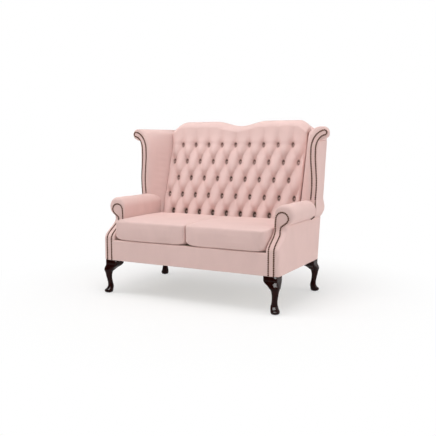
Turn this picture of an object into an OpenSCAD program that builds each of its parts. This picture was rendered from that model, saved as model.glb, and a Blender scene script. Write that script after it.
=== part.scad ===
// Two-seater winged sofa with a buttoned camel back, rolled arms and cabriole legs.
// Left and right are as seen from the front. Lengths are in millimetres.

/* [Seat] */
// Width between the two arms
seat_w = 1034; // [900:2:1200]
// Depth of the loose cushions from front to back
cushion_d = 505; // [440:1:540]
// Thickness of a loose cushion at its edge
cushion_h = 113; // [80:1:150]
// Rise of a cushion from its edge to its middle
cushion_crown = 7; // [2:1:15]
// Corner radius of a cushion seen from above
cushion_r = 26; // [12:1:45]
// How far the sides of a cushion draw in between the corners
cushion_draw = 3; // [0:0.5:6]
// How far the cushions stand out in front of the border
cushion_proud = 5; // [0:1:15]
// Gap around a loose cushion
cushion_gap = 2; // [1:0.5:4]
// Height of the seat deck above the floor
deck_z = 342; // [310:1:380]

/* [Body] */
// Height of the underside of the body above the floor
body_z = 213; // [150:1:260]
// Where the back of the body starts, at its underside
rear_y = 684; // [640:1:740]
// Rake of the outside back, as backward travel for each unit of height
rear_rake = 0.15; // [0.05:0.01:0.22]
// Radius of the rounded rear corners
rear_r = 45; // [20:1:60]
// Thickness of the covering panels
cover_t = 3; // [2:0.5:5]
// Thickness of the padded front border
border_t = 12; // [8:1:20]

/* [Arms] */
// Thickness of an arm below its roll
arm_w = 79; // [64:1:100]
// Height of the top of the arm roll
arm_h = 600; // [560:1:640]
// Radius of the arm roll
arm_r = 60; // [50:1:68]
// How far the front of the arm roll is set back
arm_set = 112; // [60:1:150]
// Height of the swept part of the arm front
sweep_h = 116; // [90:1:130]
// Height between the top of the sweep and the underside of the arm roll
sweep_drop = 17.1; // [10:0.1:30]
// Radius of the outer front edge of the arm
arm_edge_r = 26; // [15:1:28]

/* [Wings] */
// Where the front of the wings stands
wing_y = 484; // [440:1:520]
// Height of the top of the wings
wing_h = 1044; // [980:1:1100]
// Distance that the front of the wing stands outside the inner face of the arm
wing_flare = 55; // [30:1:56]
// Radius of the scroll at the top of the wing
scroll_r = 40; // [30:1:48]
// Distance of the scroll's middle from the inner face of the arm
scroll_out = 152; // [145:1:160]
// Width of the nailed facings of the wings
wing_facing_w = 29; // [22:1:32]

/* [Back] */
// Sideways pitch of the buttons
button_px = 102.4; // [90:0.1:108]
// Upright pitch of the button rows
button_pz = 112.5; // [100:0.5:120]
// Height of the lowest row of buttons
button_z = 483; // [475:1:495]
// How far the lowest row of buttons lies behind the cushions
button_behind = 46; // [40:1:70]
// Slope of the buttoned back, as backward travel for each unit of height
back_slope = 0.3; // [0.25:0.01:0.34]
// Height of a tuft over its buttons
tuft_h = 35; // [20:1:40]
// Radius of a covered button
button_r = 9; // [7:0.5:10]
// Height of the two humps of the back
hump_z = 1096; // [1060:1:1140]
// Height of the dip between the humps
dip_z = 1063; // [1040:1:1140]
// Height of the shoulders beside the humps
shoulder_z = 1036; // [1020:1:1060]
// Height of the smooth roll along the top
roll_h = 48; // [36:1:56]

/* [Legs] */
// Side of the square block at the top of a leg
leg_block = 80; // [60:1:90]
// Height of the square part of the block
leg_block_h = 22; // [14:1:30]
// Radius of the ankle
ankle_r = 17; // [14:0.5:22]
// Distance of a block from the side of the body
leg_inset_x = 12; // [4:1:30]
// Distance of a block from the front and from the back of the body
leg_inset_y = 2; // [0:1:20]
// Height of the glides under the feet
glide_h = 4; // [3:0.5:8]
// Radius of the glides
glide_r = 11; // [8:0.5:13]

/* [Nails] */
// Radius of a nail head
nail_r = 4.6; // [3:0.1:4.8]
// Pitch of the nails along a row
nail_pitch = 10.2; // [10:0.1:16]
// Height of a nail head
nail_h = 2.6; // [1.5:0.1:4]

/* [Frame] */
// Thickness of the rails and boards
board_t = 25; // [18:1:28]
// Height of the seat rails
rail_h = 110; // [80:1:112]
// Thickness of the arm posts, seen from the front
post_w = 32; // [26:1:36]
// Width of a webbing strap
strap_w = 50; // [40:1:60]
// Thickness of a webbing strap
strap_t = 2; // [1:0.5:3]

/* [Hidden] */

fabric = "#dcb6b0";
timber = "#d8b98c";
mahogany = "#2b0f0d";
antique = "#6d5950";
canvas = "#b9a58a";

$fn = 48;

// Clearance between a soft pad and what it lies against
fit = 0.3;

// Main places in X
arm_in = seat_w / 2;
side_x = arm_in + arm_w;
roll_x = arm_in + arm_r;
crease_x = arm_in - 17;
scroll_x = arm_in + scroll_out;
wing_in_x = arm_in + wing_flare;
shoulder_x = crease_x + 45;

// Main places in Y
cushion_front_y = -cushion_proud;
cushion_back_y = cushion_d - cushion_proud;
button_y = cushion_back_y + button_behind;

// Main places in Z
roll_z = arm_h - arm_r;
under_roll_z = roll_z - sqrt(pow(arm_r, 2) - pow(side_x - roll_x, 2));
sweep_top = under_roll_z - sweep_drop;
sweep_z = sweep_top - sweep_h;
scroll_z = wing_h - scroll_r;
scroll_low_z = scroll_z - scroll_r - 1;
rail_top = body_z + rail_h;

// Middles of the leg blocks, and how far a foot stands out from its block along the diagonal
leg_x = side_x - leg_inset_x - leg_block / 2;
leg_ys = [leg_inset_y + leg_block / 2, rear_y - leg_inset_y - leg_block / 2];
foot_shift = leg_block * 0.46;

// The origin stands on the floor in the middle of the whole width and depth
foot_r = ankle_r * 1.47;
toe_shift = 4;
toe_stretch = 1.08;
toe_reach = toe_shift / sqrt(2) + foot_r * sqrt((1 + pow(toe_stretch, 2)) / 2);
front_y = min(-cushion_proud, leg_ys[0] - foot_shift / sqrt(2) - toe_reach);
back_y = outside_y(hump_z - roll_h);
origin_y = (front_y + back_y) / 2;

// Smooth step from 0 to 1
function smooth(t) = t <= 0 ? 0 : t >= 1 ? 1 : (1 - cos(180 * t)) / 2;
// Straight blend between two numbers
function mix(a, b, t) = a + (b - a) * t;
// Half chord of a circle at a height above its middle
function chord(r, h) = sqrt(max(0, r * r - h * h));
// Evenly spaced numbers
function steps(a, b, n) = [for (i = [0:n]) mix(a, b, i / n)];
// Numbers in rising order, each once
function sorted(v) =
  len(v) == 0
    ? []
    : let (p = v[floor(len(v) / 2)])
      concat(sorted([for (a = v) if (a < p) a]), [p], sorted([for (a = v) if (a > p) a]));

// Plane of the outside back at a height
function outside_y(z) = rear_y + rear_rake * (z - body_z);
// Plane through the buttons at a height
function plane_y(z) = button_y + back_slope * (z - button_z);
// Plane behind the back pad at a height
pad_behind = 16;
function frame_y(z) = plane_y(z) + pad_behind;

// Height of the camel back over a place across the sofa
hump_out = crease_x + 40;
hump_run = 125;
dip_w = 200;
function crest_z(x) =
  shoulder_z
  + (hump_z - shoulder_z) * smooth((hump_out - abs(x)) / hump_run)
  - (hump_z - dip_z) * (1 - smooth(abs(x) / dip_w));

// Front of the arm at a height: upright, then swept back in an S
function arm_front(z) = arm_set * smooth((z - sweep_z) / sweep_h);

// Loft through rings that all have the same number of points.
// The end caps are laid with tiles, each a list of ring points that its first point can see.
module loft(rings, tiles = []) {
  n = len(rings[0]);
  m = len(rings);
  caps = len(tiles) == 0 ? [[for (i = [0:n - 1]) i]] : tiles;
  polyhedron(
    points = [for (ring = rings) each ring],
    faces = concat(
      caps,
      [for (t = caps) concat([(m - 1) * n + t[0]], [for (i = [len(t) - 1:-1:1]) (m - 1) * n + t[i]])],
      [for (j = [0:m - 2], i = [0:n - 1]) [j * n + i, (j + 1) * n + i, (j + 1) * n + (i + 1) % n]],
      [for (j = [0:m - 2], i = [0:n - 1]) [j * n + i, (j + 1) * n + (i + 1) % n, j * n + (i + 1) % n]]
    ),
    convexity = 6
  );
}

// Puts the part's own origin in the middle of its depth
module placed() {
  translate([0, -origin_y, 0]) children();
}

// Mirrors a right-hand piece for the left side
module on_side(left) {
  mirror([left ? 1 : 0, 0, 0]) children();
}

// Extrudes an outline drawn in X and Z backwards in Y
module along_y(y, depth) {
  translate([0, y + depth, 0]) rotate([90, 0, 0]) linear_extrude(depth) children();
}

// Extrudes an outline drawn in Y and Z sideways in X
module along_x(x, width) {
  translate([x, 0, 0]) rotate([90, 0, 90]) linear_extrude(width) children();
}

// Quarter bend in the plan from one point to another round a corner, without its two ends
function bend(a, corner, b, n) = [
  for (i = [1:n - 1])
    let (t = i / n)
      a * (1 - t) * (1 - t) + corner * 2 * t * (1 - t) + b * t * t
];

function at_height(points, z) = [for (p = points) [p[0], p[1], z]];

// Seat box
post_y = cover_t;
post_d = 45;
stump_y = post_y + post_d + 5;
facing_in_x = arm_in + 18;
facing_out_x = facing_in_x + post_w;
side_rail_x = facing_out_x - board_t;
rear_rail_y = rear_y - cover_t - board_t - 4;

module front_seat_rail() {
  color(timber)
    placed()
      translate([-facing_in_x, border_t, body_z]) cube([2 * facing_in_x, board_t, rail_h]);
}

module rear_seat_rail() {
  color(timber)
    placed()
      translate([-side_rail_x, rear_rail_y, body_z]) cube([2 * side_rail_x, board_t, rail_h]);
}

bolt_r = 4;
bolt_x = side_rail_x + board_t / 2;
bolt_up = 45;
bolt_down = 28;
bolt_gap = 0.1;

// Cylinders where the hanger bolts of one side run
module bolt_run(gap) {
  for (y = leg_ys)
    translate([bolt_x, y, body_z - bolt_down - gap])
      cylinder(h = bolt_down + bolt_up + 2 * gap, r = bolt_r + gap);
}

module side_rail(left) {
  color(timber)
    placed()
      on_side(left)
        difference() {
          translate([side_rail_x, stump_y + fit, body_z])
            cube([board_t, rear_rail_y + board_t - stump_y - fit, rail_h]);
          bolt_run(bolt_gap);
        }
}

module centre_seat_rail() {
  color(timber)
    placed()
      translate([-board_t / 2, border_t + board_t, body_z])
        cube([board_t, rear_rail_y - border_t - board_t, rail_h]);
}

block_leg = 60;
block_h = rail_h - 30;

module corner_block(x, y, up) {
  translate([x, y, body_z + 10])
    linear_extrude(block_h)
      polygon([[0, 0], [-block_leg, 0], [0, up * block_leg]]);
}

module corner_blocks() {
  color(timber)
    placed()
      for (left = [true, false])
        on_side(left) {
          corner_block(side_rail_x, rear_rail_y, -1);
          corner_block(facing_in_x, border_t + board_t, 1);
        }
}

// Inner and outer edge of the arm facing at a height: a strip that swells into a scroll
facing_top = arm_h - 40;
bulb_r = 35;
bulb_x = facing_in_x + 38;
bulb_z = facing_top - bulb_r;
swell_h = 98;

function facing_in(z) =
  z < bulb_z
    ? facing_in_x + (bulb_x - bulb_r - facing_in_x) * smooth((z - bulb_z + 41) / 41)
    : bulb_x - chord(bulb_r, z - bulb_z);
function facing_out(z) =
  z < bulb_z + 5
    ? mix(facing_out_x, bulb_x + bulb_r, pow(max(0, (z - bulb_z - 5 + swell_h) / swell_h), 2))
    : bulb_x + chord(bulb_r, z - bulb_z);

pad_joint_z = sweep_top + 1.5;
bulb_zs = concat(
  [sweep_top, pad_joint_z],
  steps(under_roll_z, bulb_z + 5, 4),
  [for (a = [18:14:74]) bulb_z + bulb_r * sin(a)],
  [facing_top - 0.2]
);

// Closed outline between an inner and an outer edge, given as points that rise together
module between_edges(inner, outer) {
  polygon(concat(inner, [for (i = [len(outer) - 1:-1:0]) outer[i]]));
}

module bulb_outline() {
  between_edges([for (z = bulb_zs) [facing_in(z), z]], [for (z = bulb_zs) [facing_out(z), z]]);
}

// Heights where the arm pad steps in to pass the deck
pad_step = 4;
pad_step_zs = [deck_z - pad_step, deck_z];
sweep_zs = sorted(concat(
  steps(sweep_z, sweep_top, 12),
  [for (z = pad_step_zs) if (z > sweep_z && z < sweep_top) z]
));

// Side outline of a strip that follows the swept arm front between two depths
module sweep_outline(from, to) {
  between_edges(
    concat([[from, body_z]], [for (z = sweep_zs) [arm_front(z) + from, z]]),
    concat([[to, body_z]], [for (z = sweep_zs) [arm_front(z) + to, z]])
  );
}

module arm_post(left) {
  color(timber)
    placed()
      on_side(left)
        difference() {
          union() {
            along_x(facing_in_x, post_w) sweep_outline(post_y, post_y + post_d);
            along_y(arm_set + post_y, board_t) bulb_outline();
          }
          bolt_run(bolt_gap);
        }
}

arm_rail_h = 28;
arm_hollow_x = arm_in + 41;

module arm_rail(left) {
  y0 = arm_set + stump_y + fit;
  z0 = under_roll_z - arm_rail_h;
  color(timber)
    placed()
      on_side(left)
        difference() {
          translate([arm_hollow_x + fit, y0, z0])
            cube([board_t, frame_y(z0) - y0 + 20, arm_rail_h - fit]);
          along_x(arm_hollow_x, back_post_w) wedge_outline(rail_top, roll_z, post_behind);
        }
}

// Back frame, with boards that fill the wedge between the buttoned plane and the outside back
back_post_w = 45;
post_behind = 28;
back_a = atan(back_slope);
lower_rail_h = 90;
lower_rail_foot = 20;
top_rail_h = 30;
upright_behind = 10;
strap_hold = 30;
lower_rail_top = rail_top + lower_rail_h;
upper_rail_low = min(shoulder_z, dip_z) - roll_h - top_rail_h;

// Depth of the wedge, measured square to the buttoned plane
function wedge(z, behind) =
  (outside_y(z) - cover_t - behind - frame_y(z) - strap_t) / (cos(back_a) + rear_rake * sin(back_a));

module wedge_outline(z0, z1, behind) {
  polygon([
    for (p = [[z0, 0], [z1, 0], [z1, wedge(z1, behind)], [z0, wedge(z0, behind)]])
      [frame_y(p[0]) + strap_t + p[1] * cos(back_a), p[0] - p[1] * sin(back_a)]
  ]);
}

module back_post(left) {
  z0 = rail_top + wedge(rail_top, post_behind) * sin(back_a) + 3;
  color(timber)
    placed()
      on_side(left)
        along_x(shoulder_x, back_post_w)
          intersection() {
            wedge_outline(z0, scroll_low_z + 60, post_behind);
            translate([0, rail_top]) square([rear_y * 2, scroll_low_z - rail_top]);
          }
}

module back_uprights() {
  color(timber)
    placed()
      for (x = [-arm_in / 3, arm_in / 3])
        along_x(x - board_t / 2, board_t) wedge_outline(lower_rail_top, upper_rail_low, upright_behind);
}

// A frame of reference that leans with the buttoned back
module leaning(z) {
  translate([0, frame_y(z) + strap_t, z]) rotate([-back_a, 0, 0]) children();
}

module back_top_rail() {
  xs = steps(-shoulder_x, shoulder_x, 48);
  color(timber)
    placed()
      leaning(upper_rail_low)
        along_y(0, board_t)
          polygon(concat(
            [[shoulder_x, 0], [-shoulder_x, 0]],
            [for (x = xs) [x, (crest_z(x) - roll_h - 1 - upper_rail_low) / cos(back_a)]]
          ));
}

module back_lower_rail() {
  color(timber)
    placed()
      leaning(rail_top)
        translate([-shoulder_x, 0, lower_rail_foot])
          cube([2 * shoulder_x, board_t, lower_rail_h / cos(back_a) - lower_rail_foot]);
}

// Webbing
strap_step = 110;

module seat_webbing() {
  color(canvas)
    placed() {
      for (x = [-4 * strap_step:strap_step:4 * strap_step])
        translate([x - strap_w / 2, border_t + 2, rail_top])
          cube([strap_w, rear_rail_y + board_t - border_t - 4, strap_t]);
      for (y = [1:5])
        translate([-side_rail_x - board_t / 2, y * strap_step - strap_w / 2, rail_top + strap_t])
          cube([2 * side_rail_x + board_t, strap_w, strap_t]);
    }
}

module back_webbing() {
  low = lower_rail_top - strap_hold;
  color(canvas)
    placed()
      for (x = [-4 * strap_step:strap_step:4 * strap_step])
        leaning(low)
          translate([x - strap_w / 2, -strap_t * cos(back_a), 0])
            cube([strap_w, strap_t * cos(back_a), (upper_rail_low + strap_hold - low) / cos(back_a)]);
}

module seat_deck() {
  z0 = rail_top + 2 * strap_t;
  color(canvas)
    placed()
      translate([-(arm_in - 1), border_t + fit, z0])
        cube([2 * (arm_in - 1), frame_y(z0) - border_t - 3, deck_z - fit - z0]);
}

// Front border with a rounded top edge
module front_border() {
  r = border_t - 2;
  color(fabric)
    placed()
      along_x(-(arm_in - fit), 2 * (arm_in - fit)) {
        translate([0, body_z]) square([border_t, deck_z - fit - r - body_z]);
        translate([r, body_z]) square([border_t - r, deck_z - fit - body_z]);
        intersection() {
          translate([r, deck_z - fit - r]) circle(r);
          translate([0, deck_z - fit - r]) square(r);
        }
      }
}

// Loose cushions, as rings from the underside up over the crown
cushion_w = arm_in - cushion_gap * 1.5;

// Rounded rectangle whose sides draw in between the corners
function cushion_ring(inset, draw, z) =
  let (
    hx = cushion_w / 2 - inset,
    hy = cushion_d / 2 - inset,
    r = max(4, cushion_r - inset * 0.4),
    ends = [[1, 1, 0], [-1, 1, 90], [-1, -1, 180], [1, -1, 270]]
  ) [
    for (k = [0:3])
      each concat(
        [
          for (a = [0:22.5:90])
            [
              ends[k][0] * (hx - r) + r * cos(ends[k][2] + a),
              ends[k][1] * (hy - r) + r * sin(ends[k][2] + a),
              z
            ]
        ],
        [
          for (t = [0.2:0.2:0.81])
            let (
              lean = draw * sin(180 * t),
              side = k % 2 == 0 ? hx : hy,
              s = mix(side - r, r - side, t)
            )
              k == 0 ? [s, hy - lean, z]
              : k == 1 ? [lean - hx, mix(hy - r, r - hy, t), z]
              : k == 2 ? [-s, lean - hy, z]
              : [hx - lean, mix(r - hy, hy - r, t), z]
        ]
      )
  ];

module cushion() {
  h = cushion_h;
  c = cushion_crown;
  d = cushion_draw;
  loft([
    cushion_ring(16, -1, 0),
    cushion_ring(5, d, 2),
    cushion_ring(1.5, d, 8),
    cushion_ring(0, d, 24),
    cushion_ring(0, d, h - 24),
    cushion_ring(1.5, d, h - 9),
    cushion_ring(5, d, h - 2),
    cushion_ring(14, d, h + 1),
    cushion_ring(40, 0, h + c * 0.5),
    cushion_ring(90, 0, h + c * 0.85),
    cushion_ring(160, -1, h + c)
  ]);
}

module seat_cushion(left) {
  color(fabric)
    placed()
      on_side(left)
        translate([
          cushion_gap / 2 + cushion_w / 2,
          (cushion_front_y + cushion_back_y) / 2,
          deck_z
        ])
          cushion();
}

// Arm pad below the roll: the padded front stump and the inside of the arm
function arm_pad_ring(z) =
  let (
    f = arm_front(z),
    above = z >= deck_z,
    x0 = arm_in,
    x1 = side_x - cover_t,
    r0 = 10,
    r1 = min(arm_edge_r, x1 - facing_out(z) - 1),
    deep = f + post_y + fit + (z < pad_joint_z ? post_d : board_t),
    back = above ? frame_y(z) - fit : f + stump_y
  )
    at_height(concat(
      [[x0, back], [x0, f + r0]],
      bend([x0, f + r0], [x0, f], [x0 + r0, f], 4),
      [
        [x0 + r0, f],
        [facing_in(z) - fit, f], [facing_in(z) - fit, deep],
        [facing_out(z) + fit, deep], [facing_out(z) + fit, f],
        [x1 - r1, f]
      ],
      bend([x1 - r1, f], [x1, f], [x1, f + r1], 5),
      [
        [x1, f + r1], [x1, f + stump_y - 4],
        [arm_hollow_x + (above ? 0 : 8), f + stump_y - 1], [arm_hollow_x, back]
      ]
    ), z);

arm_pad_tiles = [[for (i = [0:7]) i], [for (i = [8:16]) i], [17, 18, 0, 7, 8, 16]];

// The pad leaves room for the end of the front rail and its corner block
module arm_pad(left) {
  zs = sorted(concat([body_z], pad_step_zs, sweep_zs, [pad_joint_z, under_roll_z]));
  color(fabric)
    placed()
      on_side(left)
        difference() {
          loft([for (z = zs) arm_pad_ring(z)], arm_pad_tiles);
          translate([arm_in - 1, border_t - fit, body_z - 1])
            cube([facing_in_x - arm_in + 1, stump_y, rail_h + fit + 1]);
        }
}

// Middle line of the wing pad's inner face, from the front of the wing to the crease
function crease_y(z) = plane_y(z) + 8;
function inner_line_y(x, z) =
  wing_y + (wing_in_x - x) * (crease_y(z) - wing_y) / (wing_in_x - crease_x);

// Front of the arm roll at a height, with its upper edge rounded over
roll_edge = 24;
wing_seam = 3;
function roll_front(z) =
  arm_set + (z - roll_z > arm_r - roll_edge
    ? roll_edge - chord(roll_edge, z - roll_z - arm_r + roll_edge)
    : 0);

function arm_roll_ring(z) =
  let (
    f = roll_front(z),
    x0 = z < roll_z ? arm_in : roll_x - chord(arm_r, z - roll_z),
    x1 = roll_x + chord(arm_r, z - roll_z),
    open = z < facing_top,
    r0 = min(10, (x1 - x0) * 0.25),
    r1 = open ? min(arm_edge_r, x1 - facing_out(z) - 1) : min(arm_edge_r, (x1 - x0) * 0.45),
    a = x0 + r0,
    b = x1 - r1,
    deep = f + post_y + fit + board_t,
    notch = open
      ? [
          [facing_in(z) - fit, f], [facing_in(z) - fit, deep],
          [facing_out(z) + fit, deep], [facing_out(z) + fit, f]
        ]
      : [for (t = [0.2:0.2:0.81]) [mix(a, b, t), f]],
    back = wing_y - fit,
    inner_back = x0 < wing_in_x - 3 ? inner_line_y(x0, z) - wing_seam : back
  )
    at_height(concat(
      [[x0, inner_back], [x0, f + r0]],
      bend([x0, f + r0], [x0, f], [a, f], 4),
      [[a, f]],
      notch,
      [[b, f]],
      bend([b, f], [x1, f], [x1, f + r1], 5),
      [[x1, f + r1], [x1, back], [x0 < wing_in_x - 3 ? wing_in_x : mix(x0, x1, 0.5), back]]
    ), z);

module arm_roll(left) {
  zs = concat(
    [for (z = bulb_zs) if (z >= under_roll_z) z],
    [facing_top + 1],
    [for (a = [35, 48, 60, 71, 80, 86]) roll_z + arm_r * sin(a)]
  );
  tiles = [[for (i = [0:7]) i], concat([15], [for (i = [8:14]) i]), [17, 0, 7, 8, 15, 16]];
  color(fabric) placed() on_side(left) loft([for (z = zs) arm_roll_ring(z)], tiles);
}

module arm_facing(left) {
  color(fabric)
    placed()
      on_side(left) {
        along_x(facing_in_x, post_w) sweep_outline(0, cover_t);
        along_y(arm_set, cover_t) bulb_outline();
      }
}

// Wing outline, seen from the front
wing_curl_z = wing_h - 141;
wing_curl_x = scroll_out - wing_flare + 8;

function wing_in(z) =
  z < wing_curl_z
    ? wing_in_x
    : let (t = min(1, (z - wing_curl_z) / (wing_h - wing_curl_z + 1)))
      wing_in_x + wing_curl_x * (1 - pow(1 - pow(t, 2.5), 0.4));
wing_out_x = roll_x + arm_r + 3;
function wing_out(z) =
  z < roll_z ? roll_x + 3 + chord(arm_r, z - roll_z)
  : z < scroll_low_z ? wing_out_x + 6 * smooth((z - scroll_low_z + 60) / 60)
  : scroll_x + chord(scroll_r, z - scroll_z);

// Outer face of the wing where it meets the rounded rear corner
wing_rear_x = side_x + 10;
function rear_x(z) =
  z < under_roll_z ? side_x
  : z < roll_z ? side_x + 22 * sin(90 * (z - under_roll_z) / (roll_z - under_roll_z))
  : side_x + 22 - 12 * smooth((z - roll_z) / 70);

// Wing facing: a strip along a gently waving middle line that curls out into a tip
strip = wing_facing_w / 2;
curl_x = scroll_x + 21;
curl_z = wing_h - 139;
curl_rx = 78;
curl_rz = 103;
tip_x = scroll_x + 11;
tip_z = curl_z + curl_rz - 1;
wave_x = curl_x - curl_rx + 4.5;
function wing_mid(z) = wave_x + 5 * cos(180 * (z - curl_z + 205) / 175);
function ellipse_x(rx, rz, z) = curl_x - rx * sqrt(max(0, 1 - pow((z - curl_z) / rz, 2)));
function strip_in(z) = z < curl_z ? wing_mid(z) - strip : ellipse_x(curl_rx + strip, curl_rz + strip, z);
function strip_out(z) =
  z < curl_z ? wing_mid(z) + strip
  : z < tip_z - strip ? ellipse_x(curl_rx - strip, curl_rz - strip, z)
  : tip_x + chord(strip, z - tip_z);
strip_top = tip_z + strip - 0.3;
scroll_base_z = scroll_low_z + fit;
strip_zs = concat(
  steps(roll_z, curl_z, 9),
  [curl_z + 30, scroll_low_z, scroll_base_z, curl_z + 75],
  steps(tip_z - strip, strip_top, 5)
);

module strip_outline(trim) {
  between_edges([for (z = strip_zs) [strip_in(z), z]], [for (z = strip_zs) [strip_out(z) - trim, z]]);
}

// The stile is narrower than its facing, so that it stays inside the slanting outside panel
stile_trim = 5;

module wing_stile(left) {
  color(timber) placed() on_side(left) along_y(wing_y + cover_t, board_t) strip_outline(stile_trim);
}

module wing_facing(left) {
  color(fabric) placed() on_side(left) along_y(wing_y, cover_t) strip_outline(0);
}

// Window frame of the wing, in an upright plane that runs from the stile in to the back post
wing_board_t = 22;
wing_rail_w = 45;
wing_frame_in = 5.5;
wing_frame_clear = 0.5;
wing_frame_y = wing_y + cover_t + board_t;
wing_frame_x = wing_out_x - cover_t - wing_frame_in - wing_board_t;
wing_frame_rear_x = wing_rear_x - cover_t - wing_frame_clear - wing_board_t;
wing_frame_past = 2;
function wing_frame_end(z) = outside_y(z) - rear_r + wing_frame_past;
wing_plane_a = atan((wing_frame_x - wing_frame_rear_x) / (wing_frame_end(roll_z) - wing_frame_y));
function wing_plane_x(y) = wing_frame_x - (y - wing_frame_y) * tan(wing_plane_a);

module wing_window(trim) {
  ends = [
    for (z = [roll_z + trim, scroll_low_z - trim])
      [(wing_frame_end(z) - wing_frame_y) / cos(wing_plane_a) - trim * 1.6, z]
  ];
  polygon([[trim, roll_z + trim], ends[0], ends[1], [trim, scroll_low_z - trim]]);
}

module wing_frame(left) {
  color(timber)
    placed()
      on_side(left)
        difference() {
          translate([wing_frame_x, wing_frame_y, 0])
            rotate([0, 0, wing_plane_a])
              along_x(0, wing_board_t)
                difference() {
                  wing_window(0);
                  wing_window(wing_rail_w);
                }
          translate([0, wing_frame_y, roll_z - 1])
            cube([shoulder_x + back_post_w, rear_y, scroll_low_z - roll_z + 2]);
        }
}

wing_edge = 24;

function wing_front_edge(z) =
  let (
    x = wing_in(z),
    a = [x - 13, wing_y + 13 * (crease_y(z) - wing_y) / (x - crease_x)],
    b = [min(x + wing_edge, wing_out(z) - 22), wing_y]
  )
    concat([a], bend(a, [x, wing_y], b, 5), [b]);

function wing_pad_ring(z) =
  let (
    open = z > roll_z - 0.5,
    y1 = wing_frame_y + fit,
    x1 = min(wing_plane_x(y1), wing_out(z) - cover_t) - fit,
    yb = frame_y(z) - fit,
    edge = wing_front_edge(z),
    notch = open
      ? [[strip_in(z) - fit, wing_y], [strip_in(z) - fit, y1]]
      : [[x1 - 3, wing_y], [x1, wing_y]]
  )
    at_height(concat(
      [[crease_x + fit, crease_y(z)]],
      edge,
      notch,
      [[x1, y1 + 1], [min(wing_plane_x(yb), rear_x(z) - cover_t) - fit, yb], [crease_x + fit, yb]]
    ), z);

// Foot of the wing pad, which fills the corner between the arm and the back down to the deck
function wing_foot_ring(z) =
  let (x0 = crease_x + fit, x1 = arm_in - fit, yb = frame_y(z) - fit)
    at_height([[x0, crease_y(z)], [x1, inner_line_y(x1, z)], [x1, yb], [x0, yb]], z);

module wing_pad(left) {
  zs = concat(
    steps(under_roll_z, roll_z - 1.5, 4),
    [for (z = strip_zs) if (z <= scroll_low_z) z]
  );
  color(fabric)
    placed()
      on_side(left) {
        loft([for (z = zs) wing_pad_ring(z)]);
        loft([for (z = [deck_z, under_roll_z]) wing_foot_ring(z)]);
      }
}

// Quarter turn of the rounded rear corner in plan, for an outer face and a radius
function rear_corner(x, y, r) = [for (a = [0:22.5:90]) [x - rear_r + r * cos(a), y - rear_r + r * sin(a)]];

wing_top_r = 24;

// Rear of the scroll above the back frame, where it clears the end of the top roll
roll_end_z = shoulder_z - roll_h;
function roll_end_front(z) =
  outside_y(roll_end_z) - roll_rear
  - roll_end_reach * sqrt(max(0, 1 - pow((z - roll_end_z) / roll_h, 2)));
function scroll_back_y(z) = (z < roll_end_z ? frame_y(z) : min(frame_y(z), roll_end_front(z))) - fit;

function wing_scroll_ring(z) =
  let (
    x1 = wing_out(z),
    inset = z > wing_h - wing_top_r ? wing_top_r - chord(wing_top_r, z - wing_h + wing_top_r) : 0,
    cx = crease_x + fit + 40 * smooth((z - wing_h + 34) / 34),
    open = z < strip_top + 0.1,
    edge = wing_front_edge(z),
    b = edge[len(edge) - 1][0],
    r1 = open ? min(20, x1 - strip_out(z) - 1) : min(16, (x1 - b) * 0.6),
    deep = wing_frame_y + fit,
    notch = open
      ? [
          [strip_in(z) - fit, wing_y], [strip_in(z) - fit, deep],
          [strip_out(z) + fit, deep], [strip_out(z) + fit, wing_y]
        ]
      : [for (t = [0.2:0.2:0.81]) [mix(b, x1 - r1, t), wing_y]],
    rear = outside_y(z) - inset
  )
    at_height(concat(
      [[cx, crease_y(z)]],
      edge,
      notch,
      [[x1 - r1, wing_y]],
      bend([x1 - r1, wing_y], [x1, wing_y], [x1, wing_y + r1], 4),
      [[x1, wing_y + r1]],
      rear_corner(max(wing_rear_x - inset, shoulder_x + rear_r + 1), rear, rear_r),
      [[shoulder_x + fit, rear - 0.5], [shoulder_x + fit, scroll_back_y(z)], [cx, scroll_back_y(z) - 0.5]]
    ), z);

module wing_scroll(left) {
  zs = concat(
    [for (z = strip_zs) if (z > scroll_low_z) z],
    [strip_top + 1, wing_h - 17, wing_h - 12, wing_h - 8, wing_h - 4, wing_h - 1]
  );
  tiles = [
    [for (i = [0:8]) i], concat([15], [for (i = [9:14]) i]), [22, 23, 0, 8, 9],
    [16, 22, 9, 15], concat([22], [for (i = [16:21]) i])
  ];
  color(fabric) placed() on_side(left) loft([for (z = zs) wing_scroll_ring(z)], tiles);
}

// Panel that wraps round a rear corner, from a front edge
function panel_ring(x, y, z) =
  let (
    outer = rear_corner(rear_x(z), outside_y(z), rear_r),
    inner = rear_corner(rear_x(z), outside_y(z), rear_r - cover_t)
  )
    at_height(concat(
      [[x, y]],
      outer,
      [for (i = [len(inner) - 1:-1:0]) inner[i]],
      [[x - cover_t, y]]
    ), z);

panel_tiles = [for (i = [0:4]) [i, i + 1, 10 - i, 11 - i]];

module outside_arm(left) {
  zs = concat([body_z], steps(sweep_z, sweep_top, 7), [under_roll_z - 0.1]);
  color(fabric)
    placed()
      on_side(left)
        loft([for (z = zs) panel_ring(side_x, arm_front(z) + stump_y, z)], panel_tiles);
}

module outside_wing(left) {
  zs = concat(
    steps(under_roll_z + 0.1, roll_z, 4),
    [roll_z + 35, roll_z + 70, scroll_low_z - 60, scroll_low_z - 30, scroll_low_z - 0.1]
  );
  rings = [for (z = zs) panel_ring(wing_out(z), wing_y, z)];
  color(fabric) placed() on_side(left) loft(rings, panel_tiles);
}

// Depth of the diamond tufting in front of the plane through the buttons.
// Two slanting coordinates are whole numbers along the pleats and at the buttons.
button_rows = 5;
top_button_z = button_z + (button_rows - 1) * button_pz;
puff = 0.6;

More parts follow.
